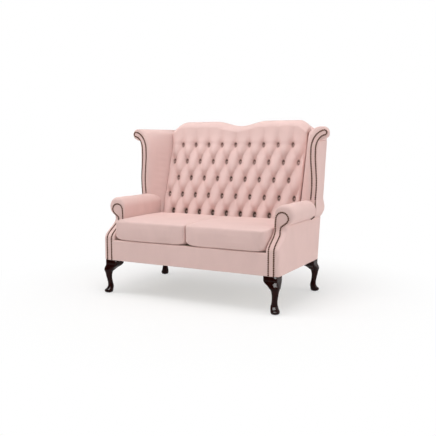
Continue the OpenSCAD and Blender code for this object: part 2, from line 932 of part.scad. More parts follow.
function swell(t) = pow(abs(sin(180 * t)), puff);
function diamond(x, z) =
  let (
    p = x / button_px + (z - button_z) / (2 * button_pz),
    q = (z - button_z) / (2 * button_pz) - x / button_px
  )
    0.65 * swell(p) * swell(q) + 0.35 * max(abs(sin(180 * p)), abs(sin(180 * q)));
function pleat(x) = 0.35 + 0.65 * swell(x / button_px);
function tuft(x, z) =
  tuft_h
  * mix(diamond(x, z), pleat(x), smooth((z - top_button_z) / (button_pz / 2)))
  * sqrt(max(0, 1 - pow(abs(x) / (crease_x - fit), 10)));
function back_front_y(x, z) =
  max(cushion_back_y + cushion_gap, plane_y(z) - tuft(x, z));

back_cols = [for (k = [-19:19]) k * button_px / 4];
back_xs = concat([-crease_x + fit], back_cols, [crease_x - fit]);

module back_pad() {
  low_zs = [deck_z, deck_z + 60, button_z - button_pz / 4];
  row_zs = steps(button_z, top_button_z, 4 * (button_rows - 1));
  color(fabric)
    placed()
      loft([
        for (x = back_xs)
          let (
            top = crest_z(x) - roll_h - fit,
            zs = concat(low_zs, row_zs, [for (t = [1:4]) mix(top_button_z, top, t / 4)])
          )
            concat(
              [[x, frame_y(deck_z), deck_z], [x, frame_y(top), top]],
              [for (i = [len(zs) - 1:-1:0]) [x, back_front_y(x, zs[i]), zs[i]]]
            )
      ]);
}

// A dome on its flat base
module dome(r, h) {
  ball = (r * r + h * h) / (2 * h);
  rotate_extrude()
    intersection() {
      translate([0, h - ball]) circle(ball);
      square([r, h]);
    }
}

button_seat = 10.5;
button_h = 5;
shank_r = 1.5;

module back_buttons() {
  color(fabric)
    placed()
      for (row = [0:button_rows - 1]) {
        z = button_z + row * button_pz;
        half = row % 2 == 0 ? 4 : 4.5;
        for (k = [-half:1:half])
          translate([k * button_px, plane_y(z), z])
            rotate([90 - back_a, 0, 0]) {
              translate([0, 0, shank_r]) cylinder(h = button_seat - shank_r + 0.5, r = shank_r);
              translate([0, 0, button_seat]) dome(button_r, button_h);
            }
      }
}

// Smooth roll along the top of the back
roll_rear = 30;
roll_reach = 100;
roll_end_reach = 44;
roll_xs = concat([-shoulder_x, -crease_x - 22], back_xs, [crease_x + 22, shoulder_x]);

module top_roll() {
  color(fabric)
    placed()
      loft([
        for (x = roll_xs)
          let (
            z0 = crest_z(x) - roll_h,
            y0 = outside_y(z0) - roll_rear,
            reach = mix(roll_reach, roll_end_reach, smooth((abs(x) - crease_x + 30) / 30))
          )
            [
              for (a = [0:15:180])
                [x, y0 + (a < 90 ? roll_rear : reach) * cos(a), z0 + roll_h * sin(a)]
            ]
      ]);
}

rear_a = atan(rear_rake);

module outside_back() {
  side_zs = [body_z, under_roll_z, roll_z - 25, roll_z, roll_z + 35, roll_z + 70, scroll_low_z];
  top_xs = steps(shoulder_x, -shoulder_x, 48);
  side = [for (z = side_zs) [rear_x(z) - rear_r - fit, z]];
  outline = concat(
    side,
    [[shoulder_x, scroll_low_z]],
    [for (x = top_xs) [x, crest_z(x) - roll_h - fit - 0.5]],
    [[-shoulder_x, scroll_low_z]],
    [for (i = [len(side) - 1:-1:0]) [-side[i][0], side[i][1]]]
  );
  color(fabric)
    placed()
      translate([0, rear_y, body_z])
        rotate([-rear_a, 0, 0])
          along_y(-cover_t, cover_t)
            polygon([for (p = outline) [p[0], (p[1] - body_z) / cos(rear_a)]]);
}

dust_t = 1.2;

module dust_cover() {
  color(canvas)
    placed()
      translate([0, 0, body_z - dust_t])
        linear_extrude(dust_t)
          difference() {
            translate([-side_x + 8, 6]) square([2 * side_x - 16, rear_y - 14]);
            for (sx = [-1, 1], y = leg_ys)
              translate([sx * leg_x - leg_block / 2 - 2, y - leg_block / 2 - 6])
                square([leg_block + 4, leg_block + 12]);
          }
}

// Cabriole legs. A ring's middle moves out along the diagonal from the middle of the block.
leg_points = 20;

// Rounded square or circle, stretched along the diagonal that points out and forwards
function leg_ring(z, shift, size, square_n, stretch) = [
  for (k = [0:leg_points - 1])
    let (
      a = (k + 0.5) * 360 / leg_points,
      c = cos(a),
      s = sin(a),
      r = size / pow(pow(abs(c), square_n) + pow(abs(s), square_n), 1 / square_n),
      out = (r * c - r * s) / sqrt(2) * stretch + foot_shift + shift,
      across = (r * c + r * s) / sqrt(2)
    )
      [(out + across) / sqrt(2), (across - out) / sqrt(2), z]
];

module leg_form() {
  b = leg_block / 2;
  k = ankle_r / 17;
  h = body_z;
  block = -foot_shift;
  loft([
    leg_ring(glide_h, 3, 22 * k, 2, 1.05),
    leg_ring(h * 0.045, toe_shift, foot_r, 2, toe_stretch),
    leg_ring(h * 0.08, 3, 26 * k, 2, 1.06),
    leg_ring(h * 0.14, -5, 24 * k, 2, 0.9),
    leg_ring(h * 0.21, -9, 21 * k, 2, 0.88),
    leg_ring(h * 0.325, -6, 17 * k, 2, 0.95),
    leg_ring(h * 0.42, -2, 17.5 * k, 2, 0.96),
    leg_ring(h * 0.54, 1, 20 * k, 2, 1),
    leg_ring(h * 0.635, 1, 24.5 * k, 2.2, 1),
    leg_ring(h * 0.705, -4, b * 0.73, 2.8, 1.04),
    leg_ring(h * 0.785, -14, b * 0.83, 4, 1.06),
    leg_ring(h * 0.84, -24, b * 0.91, 6, 1.02),
    leg_ring(h - leg_block_h - 3, block + 3, b - 1.5, 9, 1),
    leg_ring(h - leg_block_h, block, b, 12, 1),
    leg_ring(h, block, b, 12, 1)
  ]);
}

module leg(left, rear) {
  color(mahogany)
    placed()
      on_side(left)
        difference() {
          translate([leg_x, rear ? leg_ys[1] : leg_ys[0], 0])
            mirror([0, rear ? 1 : 0, 0])
              leg_form();
          bolt_run(bolt_gap);
        }
}

module leg_bolts() {
  color("silver") placed() for (left = [true, false]) on_side(left) bolt_run(0);
}

module foot_glides() {
  glide_d = (foot_shift + 3) / sqrt(2);
  color("#3a3a3a")
    placed()
      for (left = [true, false], rear = [0, 1])
        on_side(left)
          translate([leg_x + glide_d, leg_ys[rear] + (rear == 1 ? glide_d : -glide_d), 0])
            cylinder(h = glide_h, r = glide_r);
}

// Rows of nails at an even pitch along a path
function run_lengths(path) = [
  for (i = 0, s = 0; i < len(path); i = i + 1, s = s + (i < len(path) ? norm(path[i] - path[i - 1]) : 0)) s
];

module nail_row(path, normals) {
  run = run_lengths(path);
  total = run[len(run) - 1];
  count = floor(total / nail_pitch);
  for (k = [0:count]) {
    s = k * total / count;
    at = [for (c = [0:2]) lookup(s, [for (i = [0:len(path) - 1]) [run[i], path[i][c]]])];
    lean = lookup(s, [for (i = [0:len(path) - 1]) [run[i], normals[i]]]);
    translate(at) rotate([90 - lean, 0, 0]) translate([0, 0, fit]) dome(nail_r, nail_h);
  }
}

// Swept arm front at a height, as its rows of faces make it
sweep_line = [for (z = sweep_zs) [z, arm_front(z)]];
function sweep_front(z) = lookup(z, sweep_line);

// Lean of the swept arm front over the width of a nail
function sweep_lean(z) = atan((sweep_front(z + nail_r) - sweep_front(z - nail_r)) / (2 * nail_r));

// How far a nail moves out so that its flat base clears the hollow of the sweep
function nail_rise(z) = max(0, sweep_front(z) - (sweep_front(z + nail_r) + sweep_front(z - nail_r)) / 2);

module arm_nails(left) {
  zs = concat(
    [body_z + nail_r + 1, sweep_z - 20],
    steps(sweep_z, sweep_top, 48),
    [sweep_top + nail_r],
    [for (z = bulb_zs) if (z > sweep_top + nail_r + 0.5) z]
  );
  front = [for (z = zs) sweep_front(z) - nail_rise(z)];
  up = [for (i = [0:len(zs) - 1]) [facing_out(zs[i]), front[i], zs[i]]];
  down = [for (i = [len(zs) - 1:-1:0]) [facing_in(zs[i]), front[i], zs[i]]];
  leans = [for (z = zs) sweep_lean(z)];
  color(antique)
    placed()
      on_side(left)
        nail_row(concat(up, down), concat(leans, [for (i = [len(leans) - 1:-1:0]) leans[i]]));
}

module wing_nails(left) {
  zs = [for (z = concat([arm_h + 8], strip_zs)) if (z > arm_h + 7) z];
  path = concat(
    [for (z = zs) [strip_out(z), wing_y, z]],
    [for (i = [len(zs) - 1:-1:0]) [strip_in(zs[i]), wing_y, zs[i]]]
  );
  color(antique) placed() on_side(left) nail_row(path, [for (p = path) 0]);
}

front_seat_rail();
rear_seat_rail();
side_rail(true);  // left_side_rail
side_rail(false);  // right_side_rail
centre_seat_rail();
corner_blocks();
arm_post(true);  // left_arm_post
arm_post(false);  // right_arm_post
arm_rail(true);  // left_arm_rail
arm_rail(false);  // right_arm_rail
back_post(true);  // left_back_post
back_post(false);  // right_back_post
back_uprights();
back_top_rail();
back_lower_rail();
wing_frame(true);  // left_wing_frame
wing_frame(false);  // right_wing_frame
wing_stile(true);  // left_wing_stile
wing_stile(false);  // right_wing_stile
seat_webbing();
back_webbing();
seat_deck();
front_border();
seat_cushion(true);  // left_seat_cushion
seat_cushion(false);  // right_seat_cushion
arm_pad(true);  // left_arm_pad
arm_pad(false);  // right_arm_pad
arm_roll(true);  // left_arm_roll
arm_roll(false);  // right_arm_roll
arm_facing(true);  // left_arm_facing
arm_facing(false);  // right_arm_facing
arm_nails(true);  // left_arm_nails
arm_nails(false);  // right_arm_nails
wing_pad(true);  // left_wing_pad
wing_pad(false);  // right_wing_pad
wing_scroll(true);  // left_wing_scroll
wing_scroll(false);  // right_wing_scroll
wing_facing(true);  // left_wing_facing
wing_facing(false);  // right_wing_facing
wing_nails(true);  // left_wing_nails
wing_nails(false);  // right_wing_nails
outside_arm(true);  // left_outside_arm
outside_arm(false);  // right_outside_arm
outside_wing(true);  // left_outside_wing
outside_wing(false);  // right_outside_wing
back_pad();
back_buttons();
top_roll();
outside_back();
dust_cover();
leg(true, false);  // front_left_leg
leg(false, false);  // front_right_leg
leg(true, true);  // rear_left_leg
leg(false, true);  // rear_right_leg
leg_bolts();
foot_glides();
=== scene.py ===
"""Looks of a two-seater winged sofa with a buttoned camel back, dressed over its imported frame."""
import functools
import math

import bmesh
import bpy
import numpy as np
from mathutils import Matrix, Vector


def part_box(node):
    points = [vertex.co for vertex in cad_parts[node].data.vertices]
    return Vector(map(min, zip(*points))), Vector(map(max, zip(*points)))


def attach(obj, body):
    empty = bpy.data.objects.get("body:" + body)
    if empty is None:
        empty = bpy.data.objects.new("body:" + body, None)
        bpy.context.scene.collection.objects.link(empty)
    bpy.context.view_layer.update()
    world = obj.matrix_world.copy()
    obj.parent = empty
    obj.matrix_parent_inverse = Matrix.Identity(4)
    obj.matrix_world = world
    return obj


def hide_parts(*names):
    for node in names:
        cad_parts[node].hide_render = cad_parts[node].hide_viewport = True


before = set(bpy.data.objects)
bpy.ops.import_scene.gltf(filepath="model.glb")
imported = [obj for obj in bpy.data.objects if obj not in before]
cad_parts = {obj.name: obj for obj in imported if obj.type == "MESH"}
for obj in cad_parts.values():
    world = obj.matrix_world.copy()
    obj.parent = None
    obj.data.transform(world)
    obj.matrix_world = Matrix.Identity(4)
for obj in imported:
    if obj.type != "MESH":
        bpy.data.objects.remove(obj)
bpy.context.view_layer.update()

bl_info = {
    "name": "Buttoned Wing Sofa",
    "version": (1, 0, 0),
    "blender": (4, 5, 0),
    "location": "View3D > Sidebar > Sofa",
    "description": "Covers, cushions, buttons, nails, legs and studio of a two-seater winged sofa",
    "category": "Object",
}

SIDES = {"left": -1, "right": 1}
BODY = "sofa"

# Main places of the frame, in metres, with Y counted from the front of the border
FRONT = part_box("front_border")[0].y
BODY_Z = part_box("front_border")[0].z
DECK_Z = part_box("front_border")[1].z + 0.0003
ARM_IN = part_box("right_arm_pad")[0].x
REAR_Y = 0.684
REAR_RAKE = 0.15
REAR_R = 0.045
SWEEP_Z = 0.350
SWEEP_H = 0.116
ARM_SET = 0.112
ARM_H = 0.600
ARM_R = 0.060
ARM_EDGE_R = 0.026
SIDE_X = ARM_IN + 0.079
ROLL_X = ARM_IN + ARM_R
ROLL_Z = ARM_H - ARM_R
UNDER_ROLL_Z = ROLL_Z - math.sqrt(ARM_R ** 2 - (SIDE_X - ROLL_X) ** 2)
FACING_IN_X = ARM_IN + 0.018
FACING_OUT_X = FACING_IN_X + 0.032
FACING_TOP = ARM_H - 0.040
BULB_R = 0.038
BULB_X = FACING_IN_X + 0.033
BULB_Z = FACING_TOP - BULB_R - 0.002
WING_Y = 0.484
WING_H = 1.044
SCROLL_R = 0.040
SCROLL_X = ARM_IN + 0.152
SCROLL_LOW_Z = WING_H - 2 * SCROLL_R - 0.001
STRIP = 0.0145
CURL_X = SCROLL_X + 0.021
CURL_Z = WING_H - 0.139
CURL_RX = 0.078
CURL_RZ = 0.103
TIP_X = SCROLL_X + 0.011
TIP_Z = CURL_Z + CURL_RZ - 0.001
STRIP_TOP = TIP_Z + STRIP - 0.0001
CREASE_X = ARM_IN - 0.017
SHOULDER_X = CREASE_X + 0.045
BUTTON_Z = 0.483
BUTTON_Y = 0.546
BACK_SLOPE = 0.3
BACK_LEAN = math.atan(BACK_SLOPE)
HUMP_Z = 1.096
DIP_Z = 1.063
SHOULDER_Z = 1.036
ROLL_H = 0.048
ROLL_IN = 0.100
ROLL_OUT = 0.030
LEG_BLOCK = 0.080
PAD_FRONT_Y = 0.5026
BUTTON_SINK = 0.0022
NAIL_RISE = 0.0012

# Camera, and where the floor turns to white
CAMERA_AT = (1.878, -3.512, 0.922)
CAMERA_TURN = (28.0, 6.5)
FLOOR_HALF = 9
WHITE_FROM = 0.45
WHITE_TO = 1.65

# Thickness of the panels, steps of the meshes, and the cloth simulation's length and limit
PANEL = 0.0030
FACING = 0.0028
BORDER = 0.0075
BACK_COLUMNS = 373
BACK_STEP = 0.0026
PANEL_COLUMNS = 141
PANEL_ROWS = 90
LEG_SIDES = 72
LEG_ROWS = 74
STUFFING_FRAMES = 20
STUFFING_REACH = 0.010


def length(name, description, default, low, high):
    """Property for a length."""
    return bpy.props.FloatProperty(name=name, description=description, default=default, min=low, max=high,
                                   unit="LENGTH")


def colour(name, description, default):
    """Property for a colour."""
    return bpy.props.FloatVectorProperty(name=name, description=description, default=default, min=0, max=1,
                                         size=3, subtype="COLOR")


def power(name, description, default):
    """Property for the power of a lamp."""
    return bpy.props.FloatProperty(name=name, description=description, default=default, min=0, max=1200,
                                   unit="POWER")


class SofaSizes(bpy.types.PropertyGroup):
    """Sizes of the covers and trimmings."""
    button_pitch_x: length("Button pitch across", "Distance between buttons of a row", 0.1024, 0.09, 0.108)
    button_pitch_z: length("Button pitch up", "Distance between two rows of buttons", 0.1125, 0.1, 0.12)
    button_rows: bpy.props.IntProperty(
        name="Button rows", description="Number of rows of buttons", default=5, min=3, max=7)
    tuft_depth: length("Tuft depth", "Height of a tuft over its buttons", 0.035, 0.02, 0.04)
    button_radius: length("Button radius", "Radius of a covered button", 0.0085, 0.007, 0.01)
    nail_radius: length("Nail radius", "Radius of a nail head", 0.0051, 0.003, 0.0052)
    nail_pitch: length("Nail pitch", "Distance between two nails of a row", 0.0102, 0.01, 0.016)
    nail_height: length("Nail height", "Height of a nail head", 0.0036, 0.0015, 0.004)
    cushion_crown: length("Cushion crown", "Rise of a seat cushion towards its middle", 0.016, 0.002, 0.02)
    cushion_grid: length("Cushion mesh", "Edge length of the mesh that is stuffed", 0.006, 0.004, 0.01)
    cover_grid: length("Cover mesh", "Edge length of the arm and wing covers", 0.004, 0.003, 0.008)


class SofaColours(bpy.types.PropertyGroup):
    """Colours of the finishes."""
    velvet: colour("Velvet", "Colour of the cover", (0.775, 0.560, 0.527))
    nail: colour("Nails", "Colour of the antique nails", (0.078, 0.040, 0.026))
    mahogany: colour("Legs", "Colour of the polished legs", (0.014, 0.0026, 0.0020))
    timber: colour("Frame timber", "Colour of the raw frame", (0.60, 0.40, 0.22))
    canvas: colour("Canvas", "Colour of the deck, webbing and bottom cloth", (0.40, 0.32, 0.22))


class SofaStudio(bpy.types.PropertyGroup):
    """Levels of the studio."""
    key: power("Top lamp", "Power of the wide lamp overhead", 52.0)
    left: power("Left lamp", "Power of the lamp at the upper left", 23.0)
    right: power("Right lamp", "Power of the lamp at the right", 25.0)
    glint: power("Softbox", "Power of the long softbox that the polish shows", 820.0)
    room: bpy.props.FloatProperty(
        name="Room light", description="Light that comes from all round", default=0.455, min=0, max=2)


# Curves of the body

def smooth(t):
    """Smooth step from 0 to 1."""
    return 0.5 - 0.5 * np.cos(np.pi * np.clip(t, 0, 1))


def mix(a, b, t):
    return a + (b - a) * t


def chord(r, h):
    """Half chord of a circle at a height above its middle."""
    return np.sqrt(np.maximum(0, r * r - h * h))


def smooth_through(x, y, at):
    """Smooth curve through some points that doesn't overshoot them."""
    x, y, at = np.asarray(x, float), np.asarray(y, float), np.asarray(at, float)
    h, d = np.diff(x), np.diff(y) / np.diff(x)
    m = np.zeros(len(x))
    m[0], m[-1] = d[0], d[-1]
    for i in range(1, len(x) - 1):
        if d[i - 1] * d[i] > 0:
            w1, w2 = 2 * h[i] + h[i - 1], h[i] + 2 * h[i - 1]
            m[i] = (w1 + w2) / (w1 / d[i - 1] + w2 / d[i])
    k = np.clip(np.searchsorted(x, at) - 1, 0, len(h) - 1)
    t = (at - x[k]) / h[k]
    return ((1 + 2 * t) * (1 - t) ** 2 * y[k] + t * (1 - t) ** 2 * h[k] * m[k]
            + t * t * (3 - 2 * t) * y[k + 1] + t * t * (t - 1) * h[k] * m[k + 1])


def outside_y(z):
    return REAR_Y + REAR_RAKE * (z - BODY_Z)


def plane_y(z):
    """Plane of the buttons."""
    return BUTTON_Y + BACK_SLOPE * (z - BUTTON_Z)


def frame_y(z):
    return plane_y(z) + 0.016


def crest_z(x):
    """Camel line: two humps, the dip between them and the shoulders."""
    x = np.abs(x)
    return (SHOULDER_Z + (HUMP_Z - SHOULDER_Z) * smooth((CREASE_X + 0.040 - x) / 0.125)
            - (HUMP_Z - DIP_Z) * (1 - smooth(x / 0.200)))


def arm_front(z):
    return ARM_SET * smooth((z - SWEEP_Z) / SWEEP_H)


def facing_edge(zs, xs, side, z):
    """Edge of the arm facing: straight, then through some points at the neck, then round the scroll."""
    low = smooth_through([BODY_Z - 0.02, SWEEP_Z + 0.050, *zs, BULB_Z],
                         [xs[0], *xs, BULB_X + side * BULB_R], z)
    return np.where(z < BULB_Z, low, BULB_X + side * chord(BULB_R, z - BULB_Z))


def facing_in(z):
    return facing_edge([0.440, 0.469, 0.500], [FACING_IN_X, 0.5310, 0.5280, 0.5284], -1, z)


def facing_out(z):
    return facing_edge([0.430, 0.453, 0.471, 0.489, 0.503],
                       [FACING_OUT_X, 0.5655, 0.5585, 0.5600, 0.5810, 0.5985], 1, z)


def wing_out(z):
    low = ROLL_X + 0.003 + chord(ARM_R, z - ROLL_Z)
    high = ROLL_X + ARM_R + 0.003 + 0.006 * smooth((z - SCROLL_LOW_Z + 0.060) / 0.060)
    return np.where(z < ROLL_Z, low, high)


def rear_x(z):
    swell = SIDE_X + 0.022 * np.sin(0.5 * np.pi * (z - UNDER_ROLL_Z) / (ROLL_Z - UNDER_ROLL_Z))
    high = SIDE_X + 0.022 - 0.012 * smooth((z - ROLL_Z) / 0.070)
    return np.where(z < UNDER_ROLL_Z, SIDE_X, np.where(z < ROLL_Z, swell, high))


def wing_mid(z):
    return CURL_X - CURL_RX + 0.0045 + 0.005 * np.cos(np.pi * (z - CURL_Z + 0.205) / 0.175)


def curl(rx, rz, z):
    return CURL_X - rx * np.sqrt(np.maximum(0, 1 - ((z - CURL_Z) / rz) ** 2))


def strip_in(z):
    """Inner edge of the wing facing, which curls outward at its top."""
    return np.where(z < CURL_Z, wing_mid(z) - STRIP, curl(CURL_RX + STRIP, CURL_RZ + STRIP, z))


def strip_out(z):
    high = np.where(z < TIP_Z - STRIP, curl(CURL_RX - STRIP, CURL_RZ - STRIP, z),
                    TIP_X + chord(STRIP, z - TIP_Z))
    return np.where(z < CURL_Z, wing_mid(z) + STRIP, high)


def spots(x, y, z):
    """Points from their coordinates, each an array or one number."""
    return np.stack(np.broadcast_arrays(x, y, z), -1)


def arm_edges(z):
    """Heights, both edges, front and facing direction of the arm facing, which sweeps forward."""
    slope = (arm_front(z + 1e-4) - arm_front(z - 1e-4)) / 2e-4
    steep = np.sqrt(1 + slope ** 2)
    return z, facing_in(z), facing_out(z), arm_front(z), spots(0, -1 / steep, slope / steep)


def wing_edges(z):
    """The same for the wing facing, which is upright."""
    return z, strip_in(z), strip_out(z), np.full_like(z, WING_Y), spots(0 * z, -1.0, 0)


def quarter(count):
    """Sines of even angles from 0 to 90 degrees, without the first."""
    return np.sin(np.linspace(0, 0.5 * np.pi, count))[1:]


def from_ends(count):
    """How many places each item of a row lies from the nearer end."""
    return np.minimum(np.arange(count), np.arange(count)[::-1])


# Mesh work

def placed(points):
    """Points counted from the front of the border, moved into the frame."""
    points = np.array(points, float)
    points[..., 1] += FRONT
    return points


def new_mesh(name, points, faces):
    mesh = bpy.data.meshes.new(name)
    mesh.from_pydata([tuple(p) for p in np.asarray(points).reshape(-1, 3)], [], [tuple(f) for f in faces])
    return mesh


def linked(name, data):
    """New object in the scene."""
    obj = bpy.data.objects.new(name, data)
    bpy.context.scene.collection.objects.link(obj)
    return obj


def shade(obj):
    obj.data.polygons.foreach_set("use_smooth", np.ones(len(obj.data.polygons), bool))
    obj.data.update()
    return obj


def merge(mesh, sources, outward):
    """Fills a mesh with some meshes, merges its doubles and turns its normals outward if asked."""
    bm = bmesh.new()
    for source in sources:
        bm.from_mesh(source)
    bmesh.ops.remove_doubles(bm, verts=bm.verts, dist=1e-6)
    if outward:
        bmesh.ops.recalc_face_normals(bm, faces=bm.faces)
    bm.to_mesh(mesh)
    bm.free()


def piece(name, points, faces):
    """New object with a mesh of these points and faces, with its normals outward."""
    mesh = new_mesh(name, points, faces)
    merge(mesh, [mesh], True)
    return shade(linked(name, mesh))


def net(rows, cols, wrap=False):
    """Faces of a grid of points with so many rows and columns, its columns closed in a ring or not."""
    i, j = np.meshgrid(np.arange(rows - 1), np.arange(cols if wrap else cols - 1), indexing="ij")
    k = (j + 1) % cols
    corners = [i * cols + j, i * cols + k, (i + 1) * cols + k, (i + 1) * cols + j]
    return np.stack(corners, -1).reshape(-1, 4).tolist()


def loft(name, rings):
    """Closed skin through rings of points, with a flat end at both sides."""
    rings = np.asarray(rings, float)
    rows, cols = rings.shape[:2]
    ends = [range(cols), range((rows - 1) * cols, rows * cols)]
    return piece(name, rings, net(rows, cols, wrap=True) + ends)


def panel(name, grid, inward, thick):
    """Thin closed panel: an outer grid of points and an inner one that lies a thickness further in."""
    rows, cols = grid.shape[:2]
    n = rows * cols
    faces = net(rows, cols)
    faces += [[a + n for a in reversed(f)] for f in faces]
    edge = [*range(cols), *range(2 * cols - 1, n, cols), *range(n - 2, n - cols - 1, -1),
            *range(n - 2 * cols, 0, -cols)]
    faces += [[a, b, b + n, a + n] for a, b in zip(edge, edge[1:] + edge[:1])]
    return piece(name, np.stack([grid, grid + np.asarray(inward, float) * thick]), faces)


def points_of(obj, kind="co"):
    """Places of a mesh's points, or their normals."""
    values = np.empty(len(obj.data.vertices) * 3)
    obj.data.vertices.foreach_get(kind, values)
    return values.reshape(-1, 3)


def move_points(obj, co):
    obj.data.vertices.foreach_set("co", np.asarray(co, float).ravel())
    obj.data.update()


def baked(obj):
    """Turns an object's modifiers into its plain mesh."""
    bpy.context.view_layer.update()
    depsgraph = bpy.context.evaluated_depsgraph_get()
    mesh = bpy.data.meshes.new_from_object(obj.evaluated_get(depsgraph))
    obj.modifiers.clear()
    old = obj.data
    obj.data = mesh
    bpy.data.meshes.remove(old)
    mesh.name = obj.name
    return obj


def even_skin(obj, grid):
    """Adds a modifier that wraps a mesh in one even skin."""
    remesh = obj.modifiers.new("skin", "REMESH")
    remesh.mode = "VOXEL"
    remesh.voxel_size = grid
    return obj


def keep_largest(obj):
    """Drops closed pockets that the skin leaves inside itself."""
    bm = bmesh.new()
    bm.from_mesh(obj.data)
    rest = set(bm.verts)
    islands = []
    while rest:
        stack, island = [rest.pop()], []
        while stack:
            island.append(stack.pop())
            near = {e.other_vert(island[-1]) for e in island[-1].link_edges} & rest
            rest -= near
            stack += near
        islands.append(island)
    for island in sorted(islands, key=len)[:-1]:
        bmesh.ops.delete(bm, geom=island, context="VERTS")
    bm.to_mesh(obj.data)
    bm.free()


def ripple(points, wavelength, seed):
    """Smooth uneven field between about -1 and 1, the same at each run."""
    rng = np.random.default_rng(seed)
    total = np.zeros(len(points))
    for _ in range(9):
        way = rng.normal(size=3)
        way /= np.linalg.norm(way)
        turns = 2 * math.pi / (wavelength * rng.uniform(0.7, 1.5))
        total += np.sin(points @ way * turns + rng.uniform(0, 6.28))
    return total / 4.5


def relax(obj, depth, wavelength, seed):
    """Lets a cover lie a little uneven, as fabric over wadding does."""
    co = points_of(obj)
    move_points(obj, co + points_of(obj, "normal") * (ripple(co, wavelength, seed) * depth)[:, None])


def mark_painted_shade(obj, values):
    """Keeps painted shade at each point: how far the cover's material darkens its colour there."""
    obj.data.attributes.new("crush", "FLOAT", "POINT").data.foreach_set("value", values)


def dressed(obj, nodes, material, body=BODY):
    """Gives a finished piece its material, body and slot, and hides the nodes that it stands for."""
    obj.data.materials.clear()
    obj.data.materials.append(material)
    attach(obj, body)
    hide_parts(*nodes)


# Shader work

class Value:
    """A socket of a node tree, on which arithmetic adds Math nodes."""

    def __init__(self, tree, socket):
        self.tree = tree
        self.socket = socket

    def maths(self, operation, *others):
        return self.tree.node("ShaderNodeMath", {"operation": operation}, (self, *others))

    __add__ = __radd__ = functools.partialmethod(maths, "ADD")
    __mul__ = __rmul__ = functools.partialmethod(maths, "MULTIPLY")
    __sub__ = functools.partialmethod(maths, "SUBTRACT")
    __pow__ = functools.partialmethod(maths, "POWER")
    absolute = functools.partialmethod(maths, "ABSOLUTE")
    sine = functools.partialmethod(maths, "SINE")

    def __rsub__(self, other):
        return self * -1.0 + other

    def clamp(self):
        return self.tree.node("ShaderNodeClamp", {}, [self])

    def step(self, low, high):
        """Smooth step of this value between two limits."""
        return self.tree.node("ShaderNodeMapRange", {"interpolation_type": "SMOOTHSTEP"}, [self, low, high])


class Tree:
    """A node tree under construction."""

    def __init__(self, tree):
        self.nodes = tree.nodes
        self.links = tree.links

    def put(self, socket, value):
        """Links a value to a socket, or sets the socket to it."""
        if isinstance(value, Value):
            self.links.new(value.socket, socket)
        else:
            socket.default_value = (*value, 1.0) if socket.type == "RGBA" else value

    def node(self, kind, settings, values=(), out=0):
        """Adds a node: its type, its settings, and the values or links of its sockets by order or by name."""
        node = self.nodes.new(kind)
        for key, value in settings.items():
            setattr(node, key, value)
        for key, value in values.items() if isinstance(values, dict) else enumerate(values):
            self.put(node.inputs[key], value)
        return Value(self, node.outputs[out])

    def axis(self, where, name):
        return self.node("ShaderNodeSeparateXYZ", {}, [where], out=name)

    def ray(self, name):
        return self.node("ShaderNodeLightPath", {}, out=f"Is {name} Ray")

    def shown(self, value, kind):
        """Links the finished shader to the tree's output node."""
        output = next(n for n in self.nodes if n.type == kind)
        self.links.new(value.socket, output.inputs["Surface"])


class Finish(Tree):
    """A material under construction."""

    def __init__(self, name):
        self.material = bpy.data.materials.new(name)
        self.material.use_nodes = True
        super().__init__(self.material.node_tree)
        self.shader = next(n for n in self.nodes if n.type == "BSDF_PRINCIPLED")

    def place(self, scale=(1, 1, 1), turn=(0, 0, 0)):
        """Object coordinates, stretched and turned."""
        where = self.node("ShaderNodeTexCoord", {}, out="Object")
        return self.node("ShaderNodeMapping", {}, {"Vector": where, "Scale": scale, "Rotation": turn})

    def noise(self, where, scale, detail=2.0, rough=0.5, distortion=0.0):
        return self.node("ShaderNodeTexNoise", {}, {
            "Vector": where, "Scale": scale, "Detail": detail, "Roughness": rough, "Distortion": distortion})

    def blend(self, factor, a, b):
        """Mixes two colours."""
        return self.node("ShaderNodeMix", {"data_type": "RGBA"}, {0: factor, 6: a, 7: b}, out=2)

    def bump(self, height, strength, distance):
        return self.node("ShaderNodeBump", {}, {"Strength": strength, "Distance": distance, "Height": height})

    def done(self, **sockets):
        for name, value in sockets.items():
            self.put(self.shader.inputs[name.replace("_", " ")], value)
        return self.material


def chosen(name):
    """A colour that the user can change."""
    return tuple(getattr(bpy.context.scene.sofa_colours, name))


def tone(shade_of, factor):
    """A colour made lighter or darker, by one factor or by one for each channel."""
    return tuple(float(min(1.0, c * k)) for c, k in zip(shade_of, np.broadcast_to(factor, 3)))


@functools.cache
def velvet(with_painted_shade=False):
    """Short-pile cover cloth: fine pile, brushed nap marks, a soft sheen, and painted shade where marked,
    which darkens its colour.
    """
    pink = chosen("velvet")
    m = Finish("buttoned_velvet" if with_painted_shade else "short_pile_velvet")
    where = m.place()
    pile = m.noise(where, 1150.0, 2.0, 0.6)
    thread = m.noise(m.place(scale=(1.0, 1.0, 0.32)), 620.0, 2.0, 0.55)
    nap = m.noise(m.place(scale=(1.0, 1.0, 0.55), turn=(0.2, 0.35, 0.1)), 9.0, 3.0, 0.55, 0.6)
    broad = m.noise(where, 2.6, 2.0, 0.5)
    brushed = nap.step(0.32, 0.68) * 0.55 + broad.step(0.3, 0.7) * 0.45
    cloth = m.blend(brushed, tone(pink, 0.955), tone(pink, 1.03))
    grain = pile * 0.55 + thread * 0.45
    cloth = m.blend(grain.step(0.36, 0.64) * 0.35, cloth, tone(pink, 0.90))
    if with_painted_shade:
        # Painted shade: a pinkish painted shadow where the mark is light, then a near-black painted shade
        # where it is strong
        crush = m.node("ShaderNodeAttribute", {"attribute_name": "crush"}, out="Fac")
        cloth = m.blend((crush * 2.4).clamp() * 0.42, cloth, tone(pink, (0.62, 0.44, 0.40)))
        cloth = m.blend(((crush - 0.26) * 2.4).clamp(), cloth, tone(pink, (0.125, 0.12, 0.10)))
    return m.done(Base_Color=cloth, Roughness=0.86 + 0.08 * (nap - 0.5), Sheen_Weight=0.22,
                  Sheen_Roughness=0.45, Sheen_Tint=(1.0, 0.86, 0.82), Specular_IOR_Level=0.045,
                  Normal=m.bump(grain * 0.6 + nap * 0.4, 0.28, 0.0006))


